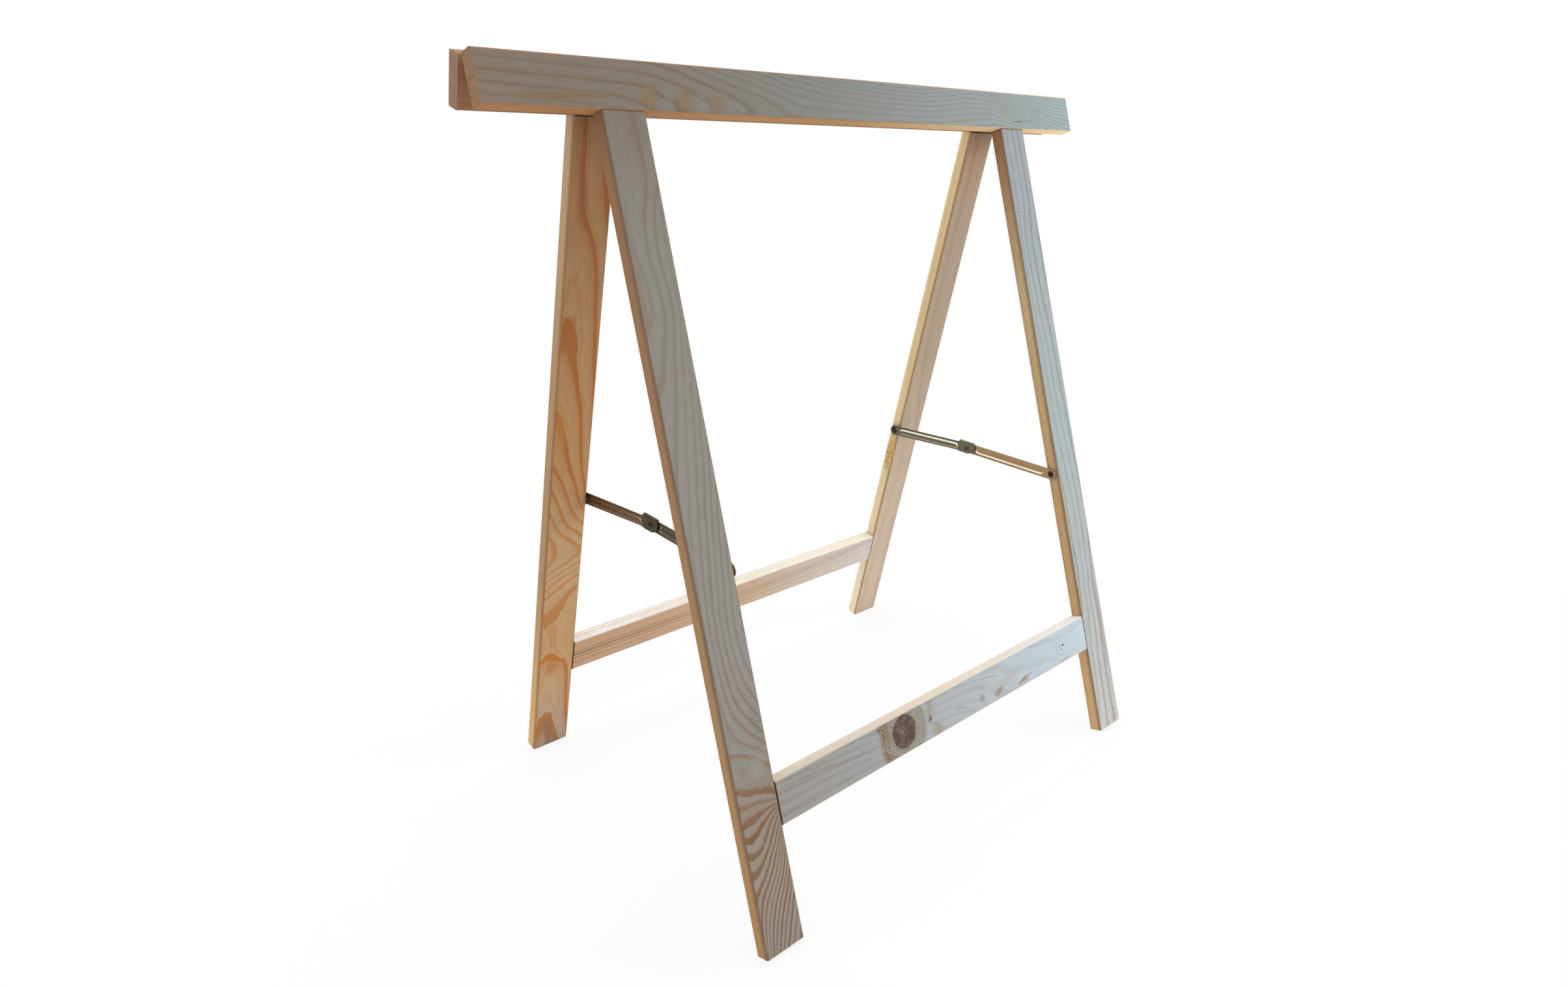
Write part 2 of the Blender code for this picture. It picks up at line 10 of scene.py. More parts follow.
# %% Load the packed trestle
import math
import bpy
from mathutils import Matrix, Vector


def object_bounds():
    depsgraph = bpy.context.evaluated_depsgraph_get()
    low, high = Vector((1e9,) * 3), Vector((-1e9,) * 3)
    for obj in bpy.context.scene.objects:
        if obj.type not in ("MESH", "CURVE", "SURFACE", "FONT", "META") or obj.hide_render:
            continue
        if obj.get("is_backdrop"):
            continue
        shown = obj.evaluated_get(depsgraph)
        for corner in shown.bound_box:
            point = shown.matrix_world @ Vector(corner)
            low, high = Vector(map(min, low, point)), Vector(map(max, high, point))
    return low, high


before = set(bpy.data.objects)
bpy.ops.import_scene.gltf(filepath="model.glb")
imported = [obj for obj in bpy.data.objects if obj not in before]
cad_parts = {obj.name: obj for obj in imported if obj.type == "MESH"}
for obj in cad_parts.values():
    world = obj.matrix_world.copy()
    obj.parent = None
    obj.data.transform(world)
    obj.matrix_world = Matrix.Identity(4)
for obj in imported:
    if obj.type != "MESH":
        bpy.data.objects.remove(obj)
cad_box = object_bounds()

from types import SimpleNamespace

import bpy
import numpy as np
from mathutils import Matrix, Vector


def show_box(title, box):
    """Print the lowest and the highest corner of a box, in metres."""
    print(title, [tuple(round(v, 4) for v in corner) for corner in box])


show_box("box of the solids:", cad_box)

# %% [markdown]
# ## The camera
#
# A camera is a place, three turns and a focal length. These were fitted to
# the trestle's own edges, so that every corner of the model falls on its
# corner in the picture. The picture was cut from a larger one, so the lens
# looks a little beside its middle: that is what the two shifts are for.

# %% Stand the camera where the photographer stood
PICTURE_WIDE, PICTURE_HIGH = 2408, 1515
EYE = Vector((-0.69989, -0.78456, 0.67733))
YAW, PITCH, ROLL = 0.78678, -0.27155, 0.016694
FOCAL = 1507.38
LENS_X, LENS_Y = 1362.94, 656.59
SENSOR = 36.0

ahead = Vector((math.sin(YAW) * math.cos(PITCH), math.cos(YAW) * math.cos(PITCH), math.sin(PITCH)))
level = Vector((math.cos(YAW), -math.sin(YAW), 0.0))
above = level.cross(ahead)
right = math.cos(ROLL) * level + math.sin(ROLL) * above
up = -math.sin(ROLL) * level + math.cos(ROLL) * above

camera = bpy.data.objects.new("camera", bpy.data.cameras.new("camera"))
bpy.context.scene.collection.objects.link(camera)
turned = Matrix((right, up, -ahead)).transposed().to_4x4()
camera.matrix_world = Matrix.Translation(EYE) @ turned
camera.data.sensor_fit = "HORIZONTAL"
camera.data.sensor_width = SENSOR
camera.data.lens = FOCAL * SENSOR / PICTURE_WIDE
camera.data.shift_x = (PICTURE_WIDE / 2 - LENS_X) / PICTURE_WIDE
camera.data.shift_y = (LENS_Y - PICTURE_HIGH / 2) / PICTURE_WIDE
bpy.context.scene.camera = camera
bpy.context.scene.view_settings.view_transform = "Standard"
print(f"lens {camera.data.lens:.2f} mm, shift {camera.data.shift_x:.4f}, {camera.data.shift_y:.4f}")

# %% [markdown]
# ## Wires that can be added and multiplied
#
# A procedural finish is a sum written in nodes. Placing dozens of Math nodes
# by hand hides that sum, so a small class stands for one output socket and
# lets Python's own signs add the nodes. Any other node comes from the method
# `node`, which sets the node up first and then plugs in values or wires.

# %% One output socket, used like a number
class Wire:
    """One output socket of a finish. Signs between wires and numbers add Math nodes."""

    def __init__(self, socket):
        self.socket = socket

    def node(self, kind, settings=None, inputs=None, output=0):
        """Add a node of this kind beside the wire: its settings first, then its sockets."""
        tree = self.socket.id_data
        made = tree.nodes.new(kind)
        for name, value in (settings or {}).items():
            if name == "stops":
                fill_ramp(made.color_ramp, value)
            elif name == "points":
                fill_curve(made.mapping, value)
            else:
                setattr(made, name, value)
        for key, value in (inputs or {}).items():
            if isinstance(value, Wire):
                tree.links.new(value.socket, made.inputs[key])
            else:
                made.inputs[key].default_value = value
        return Wire(made.outputs[output])

    def math(self, operation, *others):
        """A Math node, with this wire first."""
        return self.node("ShaderNodeMath", {"operation": operation},
                         dict(enumerate((self, *others))))

    def vector(self, operation, *others, output=0):
        """A Vector Math node, with this wire first."""
        return self.node("ShaderNodeVectorMath", {"operation": operation},
                         dict(enumerate((self, *others))), output)

    def __add__(self, other):
        return self.math("ADD", other)

    def __sub__(self, other):
        return self.math("SUBTRACT", other)

    def __rsub__(self, other):
        return self.node("ShaderNodeMath", {"operation": "SUBTRACT"}, {0: other, 1: self})

    def __mul__(self, other):
        return self.math("MULTIPLY", other)

    def __truediv__(self, other):
        return self.math("DIVIDE", other)

    __radd__ = __add__
    __rmul__ = __mul__


def fill_ramp(ramp, stops):
    """Give a colour ramp these (position, colour) stops."""
    while len(ramp.elements) < len(stops):
        ramp.elements.new(0.5)
    for element, (position, colour) in zip(ramp.elements, stops):
        element.position = position
        element.color = colour


def fill_curve(mapping, points):
    """Give a curve node these (across, up) points, joined smoothly and without overshoot."""
    curve = mapping.curves[0]
    while len(curve.points) < len(points):
        curve.points.new(0.5, 0.5)
    for point, where in zip(curve.points, points):
        point.location = where
        point.handle_type = "AUTO_CLAMPED"
    mapping.use_clip = False
    mapping.update()


print("operators:", [name for name in vars(Wire) if name.startswith("__") and "init" not in name])

# %% [markdown]
# ## Small tools for every finish
#
# Colours are written as they look on a screen and turned into the light
# values that Blender works with. The other tools are an S-shaped step, a mix
# of two colours, a soft spot, stretched noise and a line, in millimetres.

# %% Colours and steps
def paint(code, strength=1.0):
    """Screen colour "#rrggbb" as light: ((c + 0.055) / 1.055) ** 2.4, or c / 12.92 below 0.04."""
    c = np.array([int(code[i:i + 2], 16) for i in (1, 3, 5)]) / 255
    linear = np.where(c > 0.04045, ((c + 0.055) / 1.055) ** 2.4, c / 12.92) * strength
    return (*linear.tolist(), 1.0)


def step(value, low, high):
    """0 at low, 1 at high, along an S curve; low may be the larger of the two."""
    return value.node("ShaderNodeMapRange", {"interpolation_type": "SMOOTHSTEP"},
                      {"Value": value, "From Min": low, "From Max": high})


def blend(share, under, over):
    """The colour under where share is 0 and the colour over where it is 1."""
    return share.node("ShaderNodeMix", {"data_type": "RGBA"}, {0: share, 6: under, 7: over}, 2)


def ramp(share, stops):
    """The colour between these (position, colour) stops."""
    return share.node("ShaderNodeValToRGB", {"stops": stops}, {0: share})


def scaled(vector, factor):
    """A place or a colour times a number."""
    return vector.node("ShaderNodeVectorMath", {"operation": "SCALE"}, {0: vector, "Scale": factor})


print("middle grey #808080 is", round(paint("#808080")[0], 4), "in linear light")


# %% Places, spots and noise
def parts(vector):
    """The three wires of a vector."""
    first = vector.node("ShaderNodeSeparateXYZ", {}, {0: vector})
    return [Wire(socket) for socket in first.socket.node.outputs]


def join(x, y, z):
    """Three wires as a vector."""
    return x.node("ShaderNodeCombineXYZ", {}, {0: x, 1: y, 2: z})


def stretched(place, middle, turns=(0, 0, 0), sizes=(1, 1, 1)):
    """The place as seen from a box of these sizes at middle, with these turns in radians."""
    return place.node("ShaderNodeMapping", {"vector_type": "TEXTURE"},
                      {"Vector": place, "Location": middle, "Rotation": turns, "Scale": sizes})


def spot(place, middle, reach, turn=0.0):
    """1 at middle, falling to 0 along an S curve at the half axes in reach; turn is in degrees."""
    local = stretched(place, middle, (0, 0, math.radians(turn)), reach)
    return step(local.vector("LENGTH", output=1), 1, 0)


def noise(place, sizes, detail=2.0, seed=0.0):
    """Noise around a half, in blots that are as long, wide and deep as the sizes say."""
    local = stretched(place, (seed * 71, seed * 37, seed * 53), sizes=sizes)
    return local.node("ShaderNodeTexNoise", {}, {"Vector": local, "Scale": 1.0, "Detail": detail})


def shaken(place, shake, far):
    """The place moved by (shake - 1/2) * far."""
    return shake.vector("MULTIPLY_ADD", far, place).vector("SUBTRACT", tuple(f / 2 for f in far))


def chance(count, seed):
    """A random number from 0 to 1 for each whole number that the count passes."""
    return count.node("ShaderNodeTexWhiteNoise", {"noise_dimensions": "1D"},
                      {"W": count.math("FLOOR") + seed})


# %% Smooth curves and lines
def spread(numbers):
    """The lowest number, and how far the highest lies above it, at least 1."""
    numbers = list(numbers)
    return min(numbers), max(max(numbers) - min(numbers), 1)


def curve(value, run, points, low, span):
    """(number - low) / span, on a smooth curve through points {at: number} along the run."""
    first, last = run
    share = (value - first) / (last - first)
    stops = [((a - first) / (last - first), (n - low) / span) for a, n in points.items()]
    return share.node("ShaderNodeFloatCurve", {"points": stops}, {"Value": share})


def stroke(place, points, wide, swap=False):
    """1 on a line {along: across}, or {across: along} with swap, and 0 from its half width on."""
    value, rise = parts(place)[:2][::-1] if swap else parts(place)[:2]
    first, last = min(points), max(points)
    low, span = spread(points.values())
    off = rise - curve(value, (first, last), points, low, span) * span - low
    share = (value - first) / (last - first)
    ends = step(share, 0, 0.15) * step(share, 1, 0.85)
    return step(off.math("ABSOLUTE"), wide, 0) * ends


# %% Finishes
def new_finish(name):
    """A new material with a plain shader, and the wire of its Object coordinates."""
    finish = bpy.data.materials.new(name)
    finish.use_nodes = True
    tree = finish.node_tree
    tree.nodes.clear()
    shader = tree.nodes.new("ShaderNodeBsdfPrincipled")
    sheet = tree.nodes.new("ShaderNodeOutputMaterial")
    tree.links.new(shader.outputs[0], sheet.inputs["Surface"])
    return finish, shader, Wire(tree.nodes.new("ShaderNodeTexCoord").outputs["Object"])


def bump(height, strength, distance):
    """Shading as if the surface were this high, distance being the metres to a height of 1."""
    return height.node("ShaderNodeBump", {},
                       {"Strength": strength, "Distance": distance, "Height": height})


def plug(shader, **sockets):
    """Join wires or set values on the shader; an underscore in a name stands for a space."""
    for name, value in sockets.items():
        socket = shader.inputs[name.replace("_", " ")]
        if isinstance(value, Wire):
            socket.id_data.links.new(value.socket, socket)
        else:
            socket.default_value = value


def dress(names, finish):
    """Put one finish on every material slot of these solids."""
    for name in names:
        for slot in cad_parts[name].material_slots:
            slot.material = finish


# %% [markdown]
# ## The light
#
# Plain studio light: a pale world that lights every side, and three large
# soft boxes, on the right, above and weaker on the left, so that the tops of
# the boards are the brightest. Their level is such that a colour renders
# about as it is written. The world is white to the camera and in
# reflections, and lights the boards with less.

# %% World and soft boxes
WORLD_LEVEL = 0.62
WHITE = (1, 1, 1, 1)


def seen_directly(tree):
    """min(camera + mirrored + passed through, 1): 1 where a ray sees, 0 where it only lights."""
    path = tree.nodes.new("ShaderNodeLightPath")
    rays = [Wire(path.outputs[f"Is {kind} Ray"]) for kind in ("Camera", "Glossy", "Transmission")]
    return sum(rays[1:], rays[0]).math("MINIMUM", 1.0)


def soft_box(name, at, aim, wide, watts):
    """A square lamp of this width at one point, turned to face another."""
    lamp = bpy.data.lights.new(name, "AREA")
    lamp.shape, lamp.size, lamp.energy = "SQUARE", wide, watts
    held = bpy.data.objects.new(name, lamp)
    bpy.context.scene.collection.objects.link(held)
    turn = (Vector(aim) - Vector(at)).to_track_quat("-Z", "Y").to_matrix().to_4x4()
    held.matrix_world = Matrix.Translation(at) @ turn
    return held


world = bpy.data.worlds.new("studio")
bpy.context.scene.world = world
world.use_nodes = True
tree = world.node_tree
tree.nodes.clear()
seen = seen_directly(tree)
sky = seen.node("ShaderNodeBackground", {},
                {"Color": WHITE, "Strength": WORLD_LEVEL + (1 - WORLD_LEVEL) * seen})
dome = tree.nodes.new("ShaderNodeOutputWorld")
tree.links.new(sky.socket, dome.inputs["Surface"])

lamps = [
    soft_box("box_right", (2.0, -1.4, 1.7), (0, 0, 0.4), 1.5, 26),
    soft_box("box_above", (0.2, 0.3, 2.6), (0, 0, 0.3), 1.8, 22),
    soft_box("box_left", (-2.3, 0.5, 1.2), (0, 0, 0.4), 1.5, 13),
]
print("lamps:", {lamp.name: lamp.data.energy for lamp in lamps}, "and a world of", WORLD_LEVEL)

# %% [markdown]
# ## The floor
#
# The trestle stands on a plain white floor. It is a flat disc, worked out as
# rings of points. To the camera it is nearly as white as the world behind
# it, and it stays partly a matt surface near the feet, so it keeps the
# trestle's soft shadow. Further out it fades into the white.

# %% A white disc
FLOOR_RADII = (0.6, 1.2, 3.0, 8.0)


def disc(radii, count):
    """The middle point, then r * (cos t, sin t, 0) for each radius r and count steps of t."""
    t = np.linspace(0, 2 * np.pi, count, endpoint=False)
    rim_shade = np.stack([np.cos(t), np.sin(t), 0 * t], -1)
    rings = (np.asarray(radii)[:, None, None] * rim_shade).reshape(-1, 3)
    here = 1 + np.arange(count)
    there = 1 + (np.arange(count) + 1) % count
    faces = [np.stack([0 * here, here, there], -1).tolist()]
    for k in range(len(radii) - 1):
        a, b = here + k * count, there + k * count
        faces.append(np.stack([a, a + count, b + count, b], -1).tolist())
    return np.concatenate([np.zeros((1, 3)), rings]), sum(faces, [])


points, faces = disc(FLOOR_RADII, 64)
mesh = bpy.data.meshes.new("floor")
mesh.from_pydata(points.tolist(), [], faces)
floor = bpy.data.objects.new("floor", mesh)
bpy.context.scene.collection.objects.link(floor)
floor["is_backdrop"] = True
print("floor of", len(faces), "faces")

# %% The floor's white, with the shadow on it
FLOOR_WHITE = 0.86
FADE_START, FADE_END = 0.45, 1.3

finish, shader, at = new_finish("white_floor")
cloud = at.node("ShaderNodeTexNoise", {}, {"Vector": at, "Scale": 6.0})
plug(shader, Base_Color=blend(cloud, paint("#f4f4f3"), paint("#fafafa")), Roughness=0.8,
     Specular_IOR_Level=0.1)
far = step(at.vector("LENGTH", output=1), FADE_START, FADE_END)
share = seen_directly(finish.node_tree) * (FLOOR_WHITE + (1 - FLOOR_WHITE) * far)
glow = share.node("ShaderNodeEmission", {}, {"Color": WHITE, "Strength": 1.0})
mixed = share.node("ShaderNodeMixShader", {}, {0: share, 1: Wire(shader.outputs[0]), 2: glow})
sheet = next(n for n in finish.node_tree.nodes if n.bl_idname == "ShaderNodeOutputMaterial")
finish.node_tree.links.new(mixed.socket, sheet.inputs["Surface"])
floor.data.materials.append(finish)
print(f"the floor is {FLOOR_WHITE:.0%} white at the feet")

# %% [markdown]
# ## Where a point is on its board
#
# Wood grain follows the board, so every pattern is drawn in the board's own
# millimetres: along its length, across its width and through its thickness.
# The two frames lean, so a Mapping node first turns the trestle's
# coordinates upright about the hinge, once for each frame.

# %% Millimetres along, across and through a board
LEAN = math.radians(15.7)
HINGE_HEIGHT = 0.7735 * math.cos(LEAN) - 0.0033 * math.sin(LEAN)
FRAME_INSIDE = 3.3
FACE_DEEP, BOARD_THICK = 12.0, 16.0
LEG_TOP = -42.0
KINDS = {
    "beam": {"run": (-375, 375), "wide": 43, "top": 1.0},
    "leg": {"run": (0, 731.5), "wide": 41},
    "stretcher": {"run": (-236, 236), "wide": 41, "top": -629.0, "seams": (-236, 236)},
}
LEG_EDGE = {"left": -277, "right": 236}


def on_board(at, board):
    """(along, across, through) in millimetres; through is 0 on the inner face, 16 on the outer."""
    side = -1 if board.shown else 1
    x, y, z = parts(stretched(at, (0, 0, HINGE_HEIGHT), (side * LEAN, 0, 0)))
    through = y * (1000 * side) - FRAME_INSIDE
    if board.kind == "leg":
        return join(LEG_TOP - z * 1000, x * 1000 - board.left, through)
    return join(x * 1000, board.top - z * 1000, through)


print(f"the frames lean {math.degrees(LEAN):.1f} degrees from {HINGE_HEIGHT * 1000:.1f} mm up")

# %% [markdown]
# ## Growth rings
#
# A board shows its tree's growth rings as lines. To draw them, every point
# of the board gets a ring number, and a line runs where that number is
# whole. Three smooth curves say how the number changes along the upper or
# outer edge, along the middle and along the lower or inner edge; a parabola
# through the three fills the width. So a line can arch over a knot, leave
# the board at an edge, or fan out, as on the real boards.

# %% Ring numbers from three curves
RINGS_PER_DEPTH = 0.12


def ring_number(place, board):
    """Sum of curve(along) * weight(across), plus rings per mm of depth, plus wander."""
    along, across, through = parts(place)
    low, span = spread(n for rail in board.rings for n in rail.values())
    first, middle, last = [curve(along, board.run, rail, low, span) for rail in board.rings]
    s = across / board.wide
    number = (1 - s) * (1 - 2 * s) * first + 4 * s * (1 - s) * middle + s * (2 * s - 1) * last
    number = number * span + low + (through - board.shown) * RINGS_PER_DEPTH
    if board.uneven:
        tight = number.node("ShaderNodeTexNoise", {"noise_dimensions": "1D"},
                            {"W": number * 0.9 + 7.0, "Scale": 1.0})
        number = number + (tight - 0.5) * board.uneven
    slow = noise(place, (110, 24, 24), 1.0, board.seed) - 0.5
    quick = noise(place, (16, 5, 9), 3.0, board.seed + 1) - 0.5
    return number + slow * board.slow + quick * board.quick


# %% [markdown]
# ## The eight boards
#
# Each board is a row of facts: its ring numbers as {along: number} for each
# of the three curves, its colours as (along, early wood, late wood), and its
# own marks, knots, checks and specks on the face that shows. A mark, check
# or speck is its middle along and across, its half axes, its turn, and its
# colour and how much it covers. What a row leaves out is as usual. The colours
# hold painted light as well as the wood's own tone and the grey of weathered
# outer faces: they grow cooler and paler to the right, warmer on the rear
# frame's shaded inner faces, and the palest edge tones, near white, are
# painted top light.

# %% What is usual
USUAL = dict(
    late=(0.62, 0.93),  # where in a ring late wood starts, and where it is darkest
    soft=0.4,           # 0: it starts at once, 1: slowly
    even=0.5,           # 1: each ring is as dark as the next
    broad=None,         # (from, to, start): a stretch where it starts earlier
    between=0.35,       # strength of the thin lines between the rings
    rate=3.0,           # how many of those to a ring
    uneven=0.0,         # how far the spacing changes, in rings
    slow=0.5,           # how far lines wander over a hand's breadth, in rings
    quick=0.3,          # and over a finger's
    fibre=0.4,          # streaks in the late wood's colour
    grain=0.22,         # light and dark along the fibres
    cloud=0.18,         # and in clouds
    relief=0.35,        # how deep late wood lies
    ripple=None,        # (how far along, how strong): a planer's marks
    end="#8f6b4a",      # the sawn ends
    strokes=[],         # drawn lines: (points, half width, colour, share)
    cross_strokes=[],   # the same, across
    marks=[], specks=[], checks=[], knots=[],
    seams=[],           # where another board is butted to it
    edge_pitch=2.4,     # millimetres to a ring on the narrow edges
    edge_drift=None,    # {along: rings}: how those rings shift
    # the edge bands are painted shade towards a face, and on the rear right leg also a painted
    # highlight
    edge_sides=[],      # (from, to, colour, share) through the thickness
    edge_marks=[], edge_figure=None,
    edge_wander=0.5, edge_even=0.35, edge_lines=1.0, edge_rib=0.0,
)
BOARDS = {}


def new_board(name, **facts):
    """File a board under its name: what is usual, what its kind is like, and its own facts."""
    which, kind, *hand = name.split("_")
    BOARDS[name] = SimpleNamespace(**{**USUAL, **KINDS[kind], **facts}, kind=kind,
                                   seed=len(BOARDS) + 1, left=LEG_EDGE[hand[0]] if hand else None,
                                   shown=BOARD_THICK if which == "front" else 0.0)


# %% The beams
# The front beam's rings fan out from the left and run off over its top edge.
new_board(
    "front_beam", late=(0.56, 0.84), even=0.6, relief=0.2, edge_lines=0.4,
    rings=[
        {-375: 0.15, -320: 0, -240: -0.35, -200: -1, -178: -2, -155: -3, -130: -4, -105: -5,
         -80: -6, -50: -7, -20: -8, 0: -8.6, 60: -9.5, 100: -9.6, 150: -8.6, 195: -7.4, 215: -7.9,
         230: -9.2, 240: -10, 252: -11, 264: -12, 278: -13, 300: -14, 335: -15, 375: -15.5},
        {-375: 2.35, -290: 2, -240: 1.7, -205: 1, -170: 0.15, -130: -1, -97: -2, -70: -3, 0: -4,
         100: -4.6, 150: -4, 190: -3.3, 215: -3.3, 235: -4, 250: -5, 270: -6, 290: -7, 312: -8,
         335: -9, 375: -10},
        {-375: 4.8, -270: 4, -235: 3, -205: 2, -172: 1, -140: 0, -90: -1, 0: -1.4, 100: -1, 200: 0,
         235: 0.5, 260: 0, 285: -1.5, 310: -3, 340: -4.5, 375: -6}],
    face=[
        (-375, "#877a6a", "#7e6751"), (-290, "#83786d", "#7b6b56"), (-200, "#837d73", "#73604e"),
        (-100, "#85837d", "#736c64"), (0, "#8b8c87", "#7a7872"), (120, "#949999", "#808282"),
        (240, "#99a09f", "#818686"), (375, "#a2b1b4", "#848e8e")],
    edge=[(-375, "#ad7749", "#714827"), (0, "#b48656", "#99774e"), (375, "#ffe3af", "#a1a09a")],
    marks=[
        (-310, 33.5, 64, 6, -2, "#866c48", 0.7), (-230, 30, 12, 18, 8, "#89704e", 0.75),
        (-195, 31, 12, 19, 14, "#89704e", 0.75), (-160, 32, 12, 16, 25, "#86725a", 0.7),
        (-212, 33, 9, 16, 8, "#8b8d86", 0.35), (-177, 33, 9, 16, 14, "#8b8d86", 0.3),
        (246, 25, 11, 8, 40, "#9a907c", 0.6)],
    checks=[(270, 34, 22, 0.7, -4), (292, 32.5, 14, 0.5, -3)],
    strokes=[
        ({-345: 34.5, -318: 32.6, -262: 33.4}, 1.6, "#7d6444", 0.5),
        ({236: 8, 262: 18, 300: 32, 330: 42}, 0.6, "#767c7a", 0.5),
        ({276: 6, 300: 14, 345: 30, 375: 38}, 0.6, "#767c7a", 0.5),
        ({296: 4, 320: 11, 350: 20, 375: 27}, 0.5, "#7b8383", 0.5)])
new_board(
    "rear_beam", end="#93705a",
    rings=[{-375: 0, 0: -1, 375: 1}, {-375: 3, 0: 2.5, 375: 3}, {-375: 6, 0: 6.5, 375: 5}],
    face=[(-375, "#9d704b", "#9f785a"), (375, "#b2834d", "#a07342")],
    edge=[(-375, "#a97c54", "#8d6440"), (0, "#b88658", "#9c6e44"), (375, "#c98f5c", "#ad7646")])

# %% The front legs
# The left one's rings burst into a fan low down. The right one is straight and
# fine.
new_board(
    "front_leg_left", late=(0.56, 0.86), even=0.6, broad=(535, 590, 0.4), edge_lines=0.35,
    edge_rib=0.35,
    edge_sides=[(15, 9, "#6f5745", 0.75)],
    rings=[
        {0: -0.6, 80: -1, 110: -1.5, 150: -2, 193: -1, 255: 0, 300: 0.5, 350: 1, 400: 1.4,
         444: 1.5, 500: 1.3, 535: 1.15, 545: 1, 552: 0.5, 561: 0.32, 572: 0.35, 583: 1, 600: 2,
         615: 3, 628: 4, 642: 5, 664: 6, 690: 7, 726: 8, 731.5: 8.2},
        {0: -0.5, 50: -0.7, 100: -0.05, 120: 0, 160: -0.4, 200: 0.3, 244: 1.2, 300: 2.3, 350: 3.5,
         400: 4.5, 444: 5.15, 480: 4.8, 507: 4, 525: 3, 542: 2, 553: 1, 562: 0.38, 568: 0.3,
         576: 0.32, 590: 1, 599: 2, 610: 3, 620: 4, 634: 5, 646: 6.2, 664: 8, 680: 10, 700: 12,
         731.5: 14.2},
        {0: 0.7, 50: 0.8, 100: 2.4, 150: 2.3, 200: 3.3, 244: 4.4, 300: 5.6, 350: 6.8, 400: 7.6,
         444: 8, 470: 7.7, 490: 7, 512: 6, 528: 5, 540: 4, 550: 3, 560: 2, 568: 1, 578: 0.38,
         586: 0.32, 593: 0.5, 603: 2, 609: 4, 616: 6, 628: 8, 640: 10, 654: 12, 676: 14, 708: 16,
         731.5: 17}],
    face=[
        (0, "#82786c", "#79675a"), (120, "#8d8c84", "#85796d"), (240, "#938f89", "#877e71"),
        (360, "#97928b", "#877f79"), (480, "#9a948f", "#877d79"), (560, "#94918c", "#8c755e"),
        (600, "#998e81", "#825a35"), (660, "#a2968a", "#7a5836"), (731.5, "#9d958d", "#796451")],
    edge=[(0, "#896041", "#8d663f"), (500, "#aa8358", "#6c4a33"), (731.5, "#b18451", "#7f5e39")],
    marks=[(567, 27, 17, 13, 20, "#a19e9b", 0.5), (150, 3, 60, 6, 0, "#8d735a", 0.5)],
    specks=[(533, 34, 26, 8, 0, "#4c443e")])
new_board(
    "front_leg_right", seams=[0], late=(0.84, 0.97), even=0.6, edge_even=0.6, ripple=(190, 0.35),
    fibre=0.55,
    rings=[
        {0: 0.3, 190: 0.2, 280: 0, 366: -0.1, 450: -0.5, 560: -0.5, 590: 0, 620: 0.2, 670: 0.2,
         700: 0.5, 725: 1, 731.5: 1.1},
        {0: 2, 60: 2, 150: 2.6, 195: 2.5, 260: 2, 300: 1.95, 366: 1.7, 420: 1.35, 470: 1.15,
         530: 1.2, 560: 1.6, 600: 1.7, 640: 2.05, 731.5: 2.15},
        {0: 4, 195: 4, 280: 3.8, 366: 3.4, 470: 3.1, 540: 3.8, 660: 3.9, 731.5: 3.9}],
    face=[
        (0, "#a2a9ae", "#7a7b7f"), (366, "#b3bdbe", "#88908e"), (540, "#bcc3c4", "#84847c"),
        (731.5, "#ced0d0", "#947c5f")],
    edge=[
        (0, "#956c4a", "#875933"), (200, "#e0c28d", "#664938"), (450, "#d8af78", "#6e4f39"),
        (731.5, "#e7bc88", "#8c6136")],
    edge_sides=[(15, 10, "#7b6a58", 0.75), (0, 1.5, "#a87f50", 0.6)],
    marks=[
        (455, 3, 90, 6, 0, "#b8b08e", 0.6), (565, 3, 24, 6, 0, "#b9a67c", 0.7),
        (610, 35, 90, 4, -1, "#a8917c", 0.5)],
    specks=[(640, 35, 110, 5, 0, "#96806c")],
    strokes=[
        ({168: 23.4, 180: 24.4, 196: 25.2}, 0.8, "#66717a", 0.9),
        ({0: 20, 14: 20.5, 36: 20}, 0.6, "#7a8691", 0.8)],
    cross_strokes=[
        ({4: 492, 20: 493, 38: 492}, 0.4, "#d3dadb", 0.6),
        ({6: 671, 22: 672, 36: 673}, 0.4, "#dde2e2", 0.6)])

